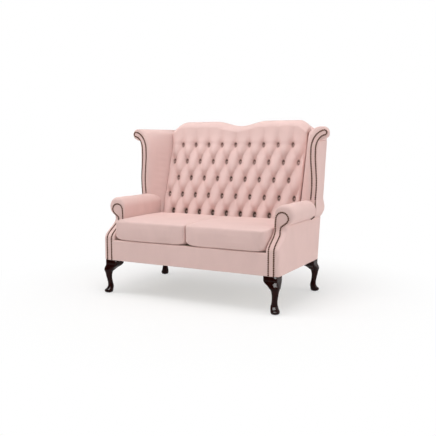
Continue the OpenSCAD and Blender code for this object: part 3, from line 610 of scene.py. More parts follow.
@functools.cache
def polished_mahogany():
    """Dark stained mahogany under clear polish, with a faint long grain."""
    stain = chosen("mahogany")
    m = Finish("polished_mahogany")
    long = m.noise(m.place(scale=(1.0, 1.0, 0.12)), 120.0, 4.0, 0.6, 0.8)
    pores = m.noise(m.place(scale=(1.0, 1.0, 0.05)), 700.0, 2.0, 0.6)
    red = m.blend(long.step(0.35, 0.7), tone(stain, 0.7), tone(stain, 1.9))
    wood = m.blend(pores.step(0.55, 0.72) * 0.5, red, tone(stain, 0.4))
    return m.done(Base_Color=wood, Roughness=0.20 + 0.10 * long, Coat_Weight=1.0, Coat_IOR=1.20,
                  Coat_Roughness=0.03, Specular_IOR_Level=0.0, Normal=m.bump(pores, 0.05, 0.0004))


@functools.cache
def antique_nail():
    """Antiqued brass of the nail heads, darker where the patina stays."""
    brass = chosen("nail")
    m = Finish("antique_brass_nails")
    patina = m.noise(m.place(), 420.0, 3.0, 0.6)
    metal = m.blend(patina.step(0.35, 0.65), tone(brass, 0.55), tone(brass, 1.45))
    return m.done(Base_Color=metal, Metallic=0.30, Specular_IOR_Level=0.03, Roughness=0.45 + 0.22 * patina,
                  Normal=m.bump(patina, 0.12, 0.0004))


@functools.cache
def raw_timber(axis):
    """Sawn frame timber with its grain along one axis."""
    raw = chosen("timber")
    m = Finish("sawn_timber_" + "xyz"[axis])
    where = m.place(scale=[0.07 if a == axis else 1.0 for a in range(3)])
    rings = m.noise(where, 42.0, 4.0, 0.55, 1.4)
    fibres = m.noise(where, 520.0, 2.0, 0.6)
    wood = m.blend(rings.step(0.38, 0.62), tone(raw, 0.80), tone(raw, 1.14))
    wood = m.blend(fibres.step(0.5, 0.75) * 0.35, wood, tone(raw, 0.6))
    return m.done(Base_Color=wood, Roughness=0.66 + 0.14 * fibres, Specular_IOR_Level=0.3,
                  Normal=m.bump(fibres * 0.6 + rings * 0.4, 0.3, 0.0006))


@functools.cache
def woven_canvas():
    """Plain woven canvas of the deck, the webbing and the bottom cloth."""
    plain = chosen("canvas")
    m = Finish("woven_canvas")
    where = m.place()
    across = (m.axis(where, "X") * 2900.0).sine()
    along = (m.axis(where, "Y") * 2900.0 + 1.57 * (m.axis(where, "X") * 1450.0).sine()).sine()
    slub = m.noise(m.place(scale=(0.2, 1.0, 1.0)), 260.0, 3.0, 0.6)
    weave = across.absolute() * 0.5 + along.absolute() * 0.5
    cloth = m.blend(weave, tone(plain, 0.72), tone(plain, 1.12))
    cloth = m.blend(slub.step(0.45, 0.7) * 0.4, cloth, tone(plain, 1.3))
    return m.done(Base_Color=cloth, Roughness=0.90 + 0.06 * slub, Specular_IOR_Level=0.2,
                  Normal=m.bump(weave * 0.7 + slub * 0.3, 0.35, 0.0005))


@functools.cache
def bolt_steel():
    """Zinc-plated steel with rolled threads."""
    m = Finish("plated_steel")
    where = m.place()
    thread = (m.axis(where, "Z") * 5000.0).sine()
    dull = m.noise(where, 300.0, 3.0, 0.6)
    metal = m.blend(dull.step(0.35, 0.65), (0.42, 0.42, 0.40), (0.62, 0.61, 0.58))
    return m.done(Base_Color=metal, Metallic=1.0, Roughness=0.30 + 0.20 * dull,
                  Normal=m.bump(thread, 0.4, 0.0006))


@functools.cache
def glide_nylon():
    """Hard dark nylon with a fine moulded texture and scuffs."""
    m = Finish("moulded_nylon")
    fine = m.noise(m.place(), 900.0, 2.0, 0.5)
    scuff = m.noise(m.place(scale=(1.0, 0.25, 1.0)), 180.0, 3.0, 0.6)
    plastic = m.blend(scuff.step(0.55, 0.7), (0.035, 0.035, 0.036), (0.085, 0.083, 0.080))
    return m.done(Base_Color=plastic, Roughness=0.45 + 0.2 * scuff, Normal=m.bump(fine, 0.2, 0.0003))


# Operators

class SOFA_OT_seat_cushions(bpy.types.Operator):
    """Make the two loose seat cushions, stuffed by cloth simulation."""
    bl_idname = "sofa.seat_cushions"
    bl_label = "Seat cushions"

    def execute(self, context):
        sizes = context.scene.sofa_sizes
        for side, sign in SIDES.items():
            low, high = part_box(side + "_seat_cushion")
            edge_top = high.z - 0.001
            obj = baked(even_skin(self.form(side, low, high, edge_top), sizes.cushion_grid))
            self.stuff(context, obj, low, high, edge_top)
            self.crown(obj, low, high, edge_top, sizes.cushion_crown, sign)
            fine = obj.modifiers.new("fine", "SUBSURF")
            fine.levels = fine.render_levels = 1
            relax(baked(obj), 0.0006, 0.11, 11 + sign)
            self.hold(obj, low, high)
            dressed(shade(obj), [side + "_seat_cushion"], velvet(), body=side + "_cushion")
        return {"FINISHED"}

    def form(self, side, low, high, edge_top):
        """Boxed cushion before stuffing, a little smaller than its solid, tight at the middle."""
        gap, sign = 0.0022, SIDES[side]
        x0, x1, y0, y1 = low.x + gap, high.x - gap, low.y + gap, high.y - gap
        cx, cy = (x0 + x1) / 2, (y0 + y1) / 2
        hx, hy = (x1 - x0) / 2, (y1 - y0) / 2
        rings = []
        for inset, z in [(0.020, low.z), (0.009, low.z + 0.0020), (0.0030, low.z + 0.007), (0, low.z + 0.016),
                         (0, edge_top - 0.013), (0.0006, edge_top - 0.0080), (0.0022, edge_top - 0.0036),
                         (0.0050, edge_top - 0.0008), (0.0095, edge_top + 0.0004), (0.05, edge_top + 0.003),
                         (0.12, edge_top + 0.005)]:
            ring = []
            for corner, (sx, sy) in enumerate([(1, 1), (-1, 1), (-1, -1), (1, -1)]):
                middle = sx != sign
                r = max(0.008, (0.015 if middle else 0.036) - inset * 0.3)
                in_x = inset * 0.45 - 0.0012 if middle and z > low.z + 0.02 else inset
                for a in np.radians(90 * corner + np.arange(0, 91, 15)):
                    ring.append((cx + sx * (hx - in_x - r) + r * math.cos(a),
                                 cy + sy * (hy - inset - r) + r * math.sin(a), z))
            rings.append(ring)
        return loft(side + "_cushion_piece", rings)

    def stuff(self, context, obj, low, high, edge_top):
        """Blows the cushion up inside its boxing seams, which hold each point by its weight."""
        start = points_of(obj)
        x, y, z = start.T
        inset = np.minimum.reduce([x - low.x, high.x - x, y - low.y, high.y - y])
        near_top = np.exp(-((z - edge_top + 0.004) / 0.006) ** 2) * np.exp(-((inset - 0.006) / 0.009) ** 2)
        seam = np.clip(near_top + np.exp(-((z - low.z - 0.003) / 0.008) ** 2), 0, 1)
        group = obj.vertex_groups.new(name="seam")
        for index in np.nonzero(seam > 0.05)[0]:
            group.add([int(index)], float(seam[index]), "REPLACE")
        cloth = obj.modifiers.new("stuffing", "CLOTH")
        for name, value in {"quality": 5, "mass": 0.3, "tension_stiffness": 18, "compression_stiffness": 18,
                            "bending_stiffness": 1.5, "use_pressure": True, "uniform_pressure_force": 4.0,
                            "vertex_group_mass": "seam"}.items():
            setattr(cloth.settings, name, value)
        cloth.settings.effector_weights.gravity = 0.0
        cloth.collision_settings.use_collision = False
        for number in range(1, STUFFING_FRAMES + 1):
            context.scene.frame_set(number)
        way = points_of(baked(obj)) - start
        context.scene.frame_set(1)
        far = np.linalg.norm(way, axis=1)
        kept = np.where(far > STUFFING_REACH, STUFFING_REACH / np.maximum(far, 1e-9), 1)
        move_points(obj, start + way * kept[:, None])

    def crown(self, obj, low, high, edge_top, rise, sign):
        """Settles the top into a low crown, bows the front and draws in its lower corners."""
        co = points_of(obj)
        x, y, z = co.T
        u = np.clip((x - low.x) / (high.x - low.x), 0, 1)
        v = np.clip((y - low.y) / (high.y - low.y), 0, 1)
        out = u if sign > 0 else 1 - u
        dome = (1 - 0.26 * (1 - out) ** 3 - 0.30 * out ** 5) * np.sin(np.pi * v * 0.74) ** 0.55
        top = smooth((z - edge_top + 0.012) / 0.012)
        middle = np.abs(x - (low.x if sign > 0 else high.x))
        full = 0.0064 if sign > 0 else 0.0040
        z += rise * dome * top + full * np.exp(-(middle / 0.0075) ** 2) * top * smooth(v / 0.06)
        level = np.clip((z - low.z) / (edge_top - low.z), 0, 1)
        front = smooth((low.y + 0.020 - y) / 0.018)
        y -= front * 0.0034 * np.sin(np.pi * level) ** 0.8 * np.sin(np.pi * u) ** 0.5
        near = np.maximum(0, np.minimum(x - low.x, high.x - x))
        corner = np.exp(-(near / 0.032) ** 1.5) * smooth((low.y + 0.050 - y) / 0.050)
        z += 0.019 * corner * (1 - level) ** 1.5
        press = np.exp(-(middle / 0.006) ** 2) * smooth((z - edge_top + 0.030) / 0.02)
        x -= sign * 0.0022 * press * smooth(v / 0.05)
        move_points(obj, co)

    def hold(self, obj, low, high):
        """Keeps the cushion inside the room that its solid has."""
        lowest = (low.x + 0.0004, low.y - 0.003, low.z + 0.0001)
        move_points(obj, np.clip(points_of(obj), lowest, (high.x - 0.0004, high.y - 0.0004, high.z + 0.016)))


class SOFA_OT_buttoned_back(bpy.types.Operator):
    """Make the inside back: diamond tufts, folds between the buttons and pleats above them."""
    bl_idname = "sofa.buttoned_back"
    bl_label = "Buttoned back"

    def execute(self, context):
        sizes = context.scene.sofa_sizes
        self.px, self.pz, self.depth = sizes.button_pitch_x, sizes.button_pitch_z, sizes.tuft_depth
        self.last_row = sizes.button_rows - 1
        self.top_z = top_z = BUTTON_Z + self.last_row * self.pz
        half = CREASE_X - 0.0004
        xs = np.linspace(-half, half, BACK_COLUMNS)
        foot = DECK_Z + 0.0005
        rings = [spots(xs, plane_y(z) - self.depth * self.tuft(xs, z), z)
                 for z in (foot, 0.37, 0.40, 0.425, 0.442, *np.arange(0.4530, top_z, BACK_STEP), top_z)]
        rings += self.over_the_top(xs)
        rings += [spots(xs, frame_y(z) - 0.0005, z) for z in (crest_z(xs) - ROLL_H - 0.002, foot)]
        rings = np.array(rings).transpose(1, 0, 2)
        rings[..., 1] = np.maximum(PAD_FRONT_Y, rings[..., 1])
        obj = loft("buttoned_inside_back", placed(rings))
        # Painted shade in and around the wells and in the creases, which the material reads
        mark_painted_shade(obj, self.painted_shade_at(*points_of(obj).T[::2], top_z))
        dressed(obj, ["back_pad"], velvet(True))
        return {"FINISHED"}

    def painted_shade_at(self, x, z, top_z):
        """Painted shade, stronger in the lower rows: dark in the wells, a painted shadow up and to the left
        of each well, and painted shade in the crease beside the wings.
        """
        low_row = smooth((BUTTON_Z + 0.045 - z) / 0.03)
        down = np.clip((top_z - z) / (top_z - BUTTON_Z), 0, 1)
        # Painted shade in each well, and a painted shadow offset up and to the left of it
        core = (1 - np.minimum(1, self.reach(x, z, 1.38) / 0.0185)) ** 0.8
        halo = (1 - np.minimum(1, self.reach(x + 0.006, z - 0.014, 1.15) / 0.046)) ** 1.25
        crush = core * mix(0.64, 0.88, down) + halo * (mix(0.26, 0.34, down) + 0.20 * low_row)
        # Painted shade in the crease where the back meets the wings
        crease_shade = mix(0.06, 0.42, down) * smooth((np.abs(x) - CREASE_X + 0.011) / 0.010)
        return np.clip(np.maximum(np.where(z < top_z + 0.06, crush, 0), crease_shade), 0, 1)

    def over_the_top(self, xs):
        """Rows from the top buttons up the pleats, then over the camel top to its rear seam."""
        depth = self.depth
        z0 = crest_z(xs) - ROLL_H
        y0 = outside_y(z0) - ROLL_OUT
        start = math.radians(174)
        y1, z1 = y0 + ROLL_IN * math.cos(start), z0 + ROLL_H * math.sin(start)
        v = np.linspace(0, 1, 40)[1:, None]
        z = mix(self.top_z, z1, v)
        full = mix(plane_y(z) - depth, y1 - (z1 - z) * 0.20, smooth(v * 1.25))
        up = spots(xs, full + depth * (1 - self.tuft(xs, z)) * mix(0.12, 1.0, (1 - v) ** 0.8), z)
        pleat = (1 - np.abs(np.sin(np.pi * xs / self.px)) ** 0.8) * self.inside(xs)
        a = np.linspace(start, 0, 32)[1:, None]
        front = np.maximum(0, -np.cos(a)) ** 2
        deep = 0.0034 * pleat * front
        side = 0.12 * depth * (1 - self.side_edge(xs)) * front
        reach = np.where(a < np.pi / 2, ROLL_OUT, ROLL_IN)
        over = spots(xs, y0 + reach * np.cos(a) + deep + side, z0 + ROLL_H * np.sin(a) ** 0.94 - 0.3 * deep)
        return [*up, *over]

    def inside(self, x):
        """Fades the pleats out beside the wings."""
        return smooth((0.455 - np.abs(x)) / 0.03)

    def side_edge(self, x):
        """Rounds the back off where it meets the wings."""
        return np.sqrt(np.maximum(0, 1 - (np.abs(x) / CREASE_X) ** 14))

    def nearest(self, x, z, last):
        """Offsets from the nearest button, counting so many to each side, and that button's row."""
        row = np.clip(np.round((z - BUTTON_Z) / self.pz), 0, self.last_row)
        shift = np.where(row % 2 == 0, 0.0, 0.5)
        count = np.clip(np.round(x / self.px - shift), -last - 2 * shift, last)
        return x - (count + shift) * self.px, z - BUTTON_Z - row * self.pz, row

    def reach(self, x, z, narrow=1.0):
        """Distance to the nearest button, counted less up and down than across."""
        dx, dz, _ = self.nearest(x, z, 4)
        return np.hypot(narrow * dx, dz / 1.3)

    def tuft(self, x, z):
        """Height of the stuffing over the buttons, from 0 to 1."""
        x, z = np.broadcast_arrays(x, z)
        across, up = x / self.px, (z - BUTTON_Z) / (2 * self.pz)
        above = np.clip((z - self.top_z) / 0.11, 0, 1)
        fold = 1 - np.abs(np.sin(np.pi * x / self.px)) ** 1.05
        pleat = 1 - self.inside(x) * mix(0.76, 0.26, above ** 0.8) * fold
        to_pleat = smooth((z - self.top_z + 0.006) / (self.pz * 0.34))
        body = mix(self.diamond(across + up, up - across), pleat, to_pleat)
        far = self.reach(x, z)
        well = np.clip((far - 0.0056) / 0.0080, 0, 1)
        well = (well * well * (3 - 2 * well)) ** 0.62 * (1 - 0.36 * np.exp(-(far / 0.019) ** 2))
        return body * well * self.side_edge(x) + self.gathers(x, z)

    def diamond(self, p, q):
        """Diamond between four folds that run into the wells at the buttons, heavier in its lower half."""
        a, b = np.abs(np.sin(np.pi * p)), np.abs(np.sin(np.pi * q))
        ridge = np.sqrt(np.maximum(0, 1 - (1 - a * a) * (1 - b * b)))
        sag = 1 - (p - np.floor(p)) - (q - np.floor(q))
        return 0.94 * (0.40 * b ** 0.74 * (0.26 + 0.74 * a ** 1.15) + 0.60 * ridge ** 0.76 + sag * a * b)

    def gathers(self, x, z):
        """Small gathers that run out from each button."""
        dx, dz, row = self.nearest(x, z, 9)
        far = np.hypot(dx, dz * 0.9)
        return 0.022 * np.exp(-((far - 0.022) / 0.010) ** 2) * np.cos(9 * np.arctan2(dz, dx) + row * 1.7)


class SOFA_OT_back_buttons(bpy.types.Operator):
    """Make the covered buttons of the back with Geometry Nodes."""
    bl_idname = "sofa.back_buttons"
    bl_label = "Back buttons"

    def execute(self, context):
        sizes = context.scene.sofa_sizes
        seats = []
        for row in range(sizes.button_rows):
            z = BUTTON_Z + row * sizes.button_pitch_z
            half = 4.0 if row % 2 == 0 else 4.5
            seats += [(k * sizes.button_pitch_x, plane_y(z), z) for k in np.arange(-half, half + 0.1)]
        out = np.array([0, -math.cos(BACK_LEAN), math.sin(BACK_LEAN)])
        form = turned("button_form", BUTTON_PROFILE, sizes.button_radius, 1.0, 14)
        seats = placed(np.array(seats) - out * BUTTON_SINK)
        obj = studs("covered_buttons", seats, np.tile(out, (len(seats), 1)), form, velvet(True))
        # Painted shade on the buttons, which sit deep in the wells
        mark_painted_shade(obj, np.full(len(obj.data.vertices), 0.40))
        dressed(obj, ["back_buttons"], velvet(True))
        return {"FINISHED"}


# Profiles of radii and heights from the top of the axis: a covered button on a short neck, and a low
# domed nail head with a thin rim
BUTTON_PROFILE = [(0.0, 0.0056), (0.35, 0.0053), (0.68, 0.0043), (0.90, 0.0026), (1.0, 0.0008),
                  (0.94, -0.0008), (0.6, -0.0014), (0.17, -0.0016), (0.15, -0.0095)]
NAIL_PROFILE = [(0.0, 1.0), (0.42, 0.90), (0.76, 0.60), (0.96, 0.20), (1.0, 0.0), (0.96, -0.25)]


def turned(name, profile, radius, height, sides):
    """Mesh turned round Z from a profile, which is scaled to a radius and a height."""
    points = [(0.0, 0.0, profile[0][1] * height)]
    for r, h in profile[1:]:
        points += [(r * radius * math.cos(a), r * radius * math.sin(a), h * height)
                   for a in np.arange(sides) * 2 * math.pi / sides]
    around = [(s, (s + 1) % sides) for s in range(sides)]
    faces = [(0, 1 + s, 1 + t) for s, t in around]
    for a in range(1, 1 + (len(profile) - 2) * sides, sides):
        b = a + sides
        faces += [(a + s, b + s, b + t, a + t) for s, t in around]
    faces.append(range(len(points) - 1, len(points) - 1 - sides, -1))
    return new_mesh(name, points, faces)


@functools.cache
def stud_tree():
    """Geometry Nodes that set one form on each point of a mesh, along the point's own direction."""
    tree = bpy.data.node_groups.new("studs_on_points", "GeometryNodeTree")
    for name, kind in (("Points", "Geometry"), ("Form", "Object"), ("Smallest", "Float"),
                       ("Largest", "Float"), ("Seed", "Int"), ("Finish", "Material"), ("Mesh", "Geometry")):
        tree.interface.new_socket(name, in_out="OUTPUT" if name == "Mesh" else "INPUT",
                                  socket_type="NodeSocket" + kind)
    start, end, to_points, form, way, align, size, instance, realize, paint = (
        tree.nodes.new(kind) for kind in (
            "NodeGroupInput", "NodeGroupOutput", "GeometryNodeMeshToPoints", "GeometryNodeObjectInfo",
            "GeometryNodeInputNamedAttribute", "FunctionNodeAlignEulerToVector", "FunctionNodeRandomValue",
            "GeometryNodeInstanceOnPoints", "GeometryNodeRealizeInstances", "GeometryNodeSetMaterial"))
    way.data_type = "FLOAT_VECTOR"
    way.inputs["Name"].default_value = "way"
    align.axis = "Z"
    size.data_type = "FLOAT"
    for giver, output, taker, socket in (
            (start, "Points", to_points, "Mesh"), (start, "Form", form, "Object"),
            (way, "Attribute", align, "Vector"), (start, "Smallest", size, 2), (start, "Largest", size, 3),
            (start, "Seed", size, "Seed"), (to_points, "Points", instance, "Points"),
            (form, "Geometry", instance, "Instance"), (align, 0, instance, "Rotation"),
            (size, 1, instance, "Scale"), (instance, "Instances", realize, "Geometry"),
            (realize, "Geometry", paint, "Geometry"), (start, "Finish", paint, "Material"),
            (paint, "Geometry", end, 0)):
        tree.links.new(giver.outputs[output], taker.inputs[socket])
    return tree


def studs(name, seats, ways, form_mesh, material):
    """One plain mesh with a form on each seat, each turned to its own direction."""
    mesh = new_mesh(name, seats, [])
    way = mesh.attributes.new("way", "FLOAT_VECTOR", "POINT")
    way.data.foreach_set("vector", np.asarray(ways, float).ravel())
    obj, form = linked(name, mesh), linked(form_mesh.name, form_mesh)
    modifier = obj.modifiers.new("studs", "NODES")
    modifier.node_group = stud_tree()
    values = {"Form": form, "Smallest": 0.98, "Largest": 1.02, "Seed": 5, "Finish": material}
    for item in stud_tree().interface.items_tree:
        if item.name in values:
            modifier[item.identifier] = values[item.name]
    baked(obj)
    bpy.data.objects.remove(form)
    if len(obj.data.vertices) < 10 * len(seats):
        raise RuntimeError(name + " came out empty")
    return shade(obj)


class SOFA_OT_top_roll(bpy.types.Operator):
    """Make the smooth band that rolls over the camel top."""
    bl_idname = "sofa.top_roll"
    bl_label = "Top roll"

    def execute(self, context):
        x = np.linspace(-SHOULDER_X, SHOULDER_X, 281)[:, None]
        a = np.radians(np.linspace(0, 180, 33))
        z0 = crest_z(x) - ROLL_H
        reach = mix(ROLL_IN, 0.044, smooth((abs(x) - CREASE_X + 0.030) / 0.030))
        under = 1 - 0.06 * smooth((CREASE_X + 0.001 - abs(x)) / 0.002)
        across = np.where(a < np.pi / 2, ROLL_OUT, reach) * np.cos(a) * under
        rings = spots(x, outside_y(z0) - ROLL_OUT + across, z0 + ROLL_H * under * np.sin(a) ** 0.94)
        obj = loft("camel_top_roll", placed(rings))
        relax(obj, 0.0005, 0.12, 21)
        dressed(obj, ["top_roll"], velvet())
        return {"FINISHED"}


class SOFA_OT_covers(bpy.types.Operator):
    """Stretch the covers over the two rolled arms and the two wings with their scrolled tops."""
    bl_idname = "sofa.covers"
    bl_label = "Arm and wing covers"

    def execute(self, context):
        for parts, wavelength, seed, fill in (
                (("arm_pad", "arm_roll", "arm_facing", "arm_post"), 0.10, 31, 0.8),
                (("wing_pad", "wing_scroll", "wing_facing", "wing_stile"), 0.12, 41, 0.7)):
            for index, side in enumerate(SIDES):
                nodes = [f"{side}_{part}" for part in parts]
                obj = self.over(nodes, nodes[0].replace("pad", "cover"), context.scene.sofa_sizes.cover_grid)
                relax(obj, 0.0006, wavelength, seed + index)
                dressed(obj, nodes[:2], velvet())
        return {"FINISHED"}

    def over(self, nodes, name, grid):
        """Fabric over the merged copies of some CAD nodes: one even skin with softened edges."""
        mesh = bpy.data.meshes.new(name)
        merge(mesh, [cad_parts[node].data for node in nodes], False)
        obj = even_skin(linked(name, mesh), grid)
        soften = obj.modifiers.new("soften", "SMOOTH")
        soften.factor = 0.5
        soften.iterations = 7
        keep_largest(baked(obj))
        return shade(obj)


class SOFA_OT_facings(bpy.types.Operator):
    """Make the narrow facings of the arms and the wings."""
    bl_idname = "sofa.facings"
    bl_label = "Facings"

    def execute(self, context):
        arm = np.concatenate([np.linspace(BODY_Z, SWEEP_Z, 30), np.linspace(SWEEP_Z, BULB_Z, 60)[1:],
                              BULB_Z + (BULB_R - 0.0001) * quarter(30)])
        wing = np.concatenate([np.linspace(ROLL_Z, TIP_Z - STRIP, 110),
                               TIP_Z - STRIP + (STRIP_TOP - TIP_Z + STRIP) * quarter(26)])
        for side, sign in SIDES.items():
            self.strip(side + "_arm", sign, *arm_edges(arm))
            self.strip(side + "_wing", sign, *wing_edges(wing))
        return {"FINISHED"}

    def strip(self, name, sign, zs, low_x, high_x, front, way):
        """Strip between two edges, a little proud of its ground, with painted shade beside the nails."""
        across = np.linspace(-1, 1, 15)
        lift = 0.0013 * (1 - np.abs(across) ** 8) - 0.0008 * (np.abs(across) > 0.999)
        x = sign * mix(low_x[:, None], high_x[:, None], (across + 1) / 2)
        grid = spots(x, front[:, None], zs[:, None]) + way[:, None] * lift[:, None]
        obj = panel(name + "_front_facing", placed(grid), -way[:, None], FACING)
        relax(obj, 0.0002, 0.05, 51)
        to_nails = (1 - np.abs(across)) * (high_x - low_x)[:, None] / 2
        # Painted shade on the facing beside the nail rows
        mark_painted_shade(obj, np.tile(0.37 * (1 - smooth(to_nails / 0.008)).ravel(), 2))
        dressed(obj, [name + "_facing"], velvet(True))


class SOFA_OT_nails(bpy.types.Operator):
    """Set the rows of dome-headed nails along the facings with Geometry Nodes."""
    bl_idname = "sofa.nails"
    bl_label = "Nails"

    def execute(self, context):
        sizes = context.scene.sofa_sizes
        arm = np.concatenate([np.linspace(BODY_Z + sizes.nail_radius + 0.001, BULB_Z, 160),
                              BULB_Z + BULB_R * quarter(40)])
        wing = np.concatenate([np.linspace(ARM_H + 0.008, TIP_Z, 200), TIP_Z + STRIP * quarter(30)])
        tail = [(ROLL_X + 0.0625 * math.cos(a), WING_Y - 0.0008, ROLL_Z + 0.0625 * math.sin(a))
                for a in np.radians([-60, -50.5, -41])]
        for side, sign in SIDES.items():
            self.row(sizes, side + "_arm_nail", sign, [], *arm_edges(arm))
            self.row(sizes, side + "_wing_nail", sign, tail, *wing_edges(wing))
        return {"FINISHED"}

    def row(self, sizes, name, sign, tail, zs, low_x, high_x, front, way):
        """Nails at an even pitch up the outer edge and down the inner one, and a few set apart."""
        path = np.concatenate([spots(sign * high_x, front, zs), spots(sign * low_x, front, zs)[::-1]])
        run = np.concatenate([[0], np.cumsum(np.linalg.norm(np.diff(path, axis=0), axis=1))])
        s = np.linspace(0, run[-1], int(run[-1] / sizes.nail_pitch) + 1)
        both = np.concatenate([path, np.concatenate([way, way[::-1]])], 1)
        both = np.stack([np.interp(s, run, column) for column in both.T], -1)
        tail = np.array([(sign * x, y, z, 0, -1.0, 0) for x, y, z in tail]).reshape(-1, 6)
        seats, ways = np.split(np.concatenate([both, tail]), 2, axis=1)
        form = turned("nail_form", NAIL_PROFILE, sizes.nail_radius, sizes.nail_height, 10)
        obj = studs(name + "_row", placed(seats + ways * NAIL_RISE), ways, form, antique_nail())
        dressed(obj, [name + "s"], antique_nail())


class SOFA_OT_outside_panels(bpy.types.Operator):
    """Make the plain outside panels and the front border."""
    bl_idname = "sofa.outside_panels"
    bl_label = "Outside panels"

    def execute(self, context):
        arm = np.linspace(BODY_Z, UNDER_ROLL_Z - 0.0002, 70)
        wing = np.linspace(UNDER_ROLL_Z + 0.0002, SCROLL_LOW_Z - 0.0002, 110)
        for side, sign in SIDES.items():
            self.skin(side + "_outside_arm", arm, self.arm_plan, sign, 61)
            self.skin(side + "_outside_wing", wing, self.wing_plan, sign, 62)
        self.back()
        self.border()
        return {"FINISHED"}

    def arm_plan(self, z):
        x = min(float(facing_out(z)) + 0.001, SIDE_X - 0.003)
        return self.wrapped(z, x, float(arm_front(z)), SIDE_X, ARM_EDGE_R)

    def wing_plan(self, z):
        x = float(wing_out(z))
        inner = max(float(strip_out(max(z, ROLL_Z))) + 0.001, x - 0.012) if z > ARM_H else x - 0.006
        return self.wrapped(z, min(inner, x - 0.002), WING_Y, x, 0.012)

    def wrapped(self, z, x_front, y_front, x_side, edge):
        """Plan of a panel from its front edge round the side to the rear corner."""
        t = np.linspace(0, 1, 9)[:, None]
        a, corner, b = np.array([[x_front, y_front], [x_side, y_front], [x_side, y_front + edge]])
        bend = a * (1 - t) ** 2 + corner * 2 * t * (1 - t) + b * t * t
        turn = np.radians(np.linspace(0, 90, 10))
        rear = np.stack([rear_x(z) - REAR_R + REAR_R * np.cos(turn),
                         outside_y(z) - REAR_R + REAR_R * np.sin(turn)], -1)
        return np.concatenate([bend, mix(b, rear[0], np.linspace(0, 1, 40)[1:-1, None]), rear])

    def skin(self, name, zs, plan, sign, seed):
        """Panel through the plans at some heights, its upper and lower edge turned in."""
        grid = np.array([spots(*plan(z).T, z) for z in zs])
        along = np.gradient(grid, axis=1)
        inward = np.stack([-along[..., 1], along[..., 0], 0 * along[..., 0]], -1)
        inward /= np.linalg.norm(inward, axis=-1, keepdims=True)
        grid = grid - inward * 0.0006 + inward * 0.0016 * np.exp(-from_ends(len(zs))[:, None, None] * 1.4)
        mirror = np.array([sign, 1, 1])
        obj = panel(name + "_panel", placed(grid * mirror), inward * mirror, PANEL)
        relax(obj, 0.0005, 0.16, seed)
        dressed(obj, [name], velvet())

    def back(self):
        """Outside back up to the roll, its edges turned in."""
        s = np.linspace(-1, 1, PANEL_COLUMNS)
        top = crest_z(s * SHOULDER_X) - ROLL_H - 0.0008
        z = BODY_Z + np.linspace(0, 1, PANEL_ROWS)[:, None] * (top - BODY_Z)
        wide = mix(rear_x(z) - REAR_R - 0.0003, SHOULDER_X - 0.0003, smooth((z - SCROLL_LOW_Z + 0.02) / 0.02))
        grid = spots(s * wide, outside_y(z), z)
        edge = np.minimum(from_ends(PANEL_COLUMNS), from_ends(PANEL_ROWS)[:, None])
        grid[..., 1] += 0.0004 - 0.0016 * np.exp(-edge * 1.3)
        obj = panel("outside_back_panel", placed(grid), (0, -1, 0), PANEL)
        relax(obj, 0.0006, 0.25, 63)
        dressed(obj, ["outside_back"], velvet())

    def border(self):
        """Front border with a rounded top edge and a slight swell."""
        half = FACING_IN_X - 0.0005
        xs = np.linspace(-half, half, 181)
        top, r = DECK_Z - 0.0003, 0.010
        turn = np.radians(np.linspace(0, 90, 9))[1:]
        y = np.concatenate([np.zeros(26), r - r * np.cos(turn)])
        z = np.concatenate([np.linspace(BODY_Z, top - r, 26), top - r + r * np.sin(turn)])[:, None]
        puff = 0.0010 * np.sin(np.pi * np.minimum(1, (z - BODY_Z) / (top - BODY_Z))) ** 0.6
        grid = spots(xs, y[:, None] - puff - 0.0002, z)
        obj = panel("front_border_panel", placed(grid), (0, 1, 0), BORDER)
        relax(obj, 0.0004, 0.13, 64)
        dressed(obj, ["front_border"], velvet())


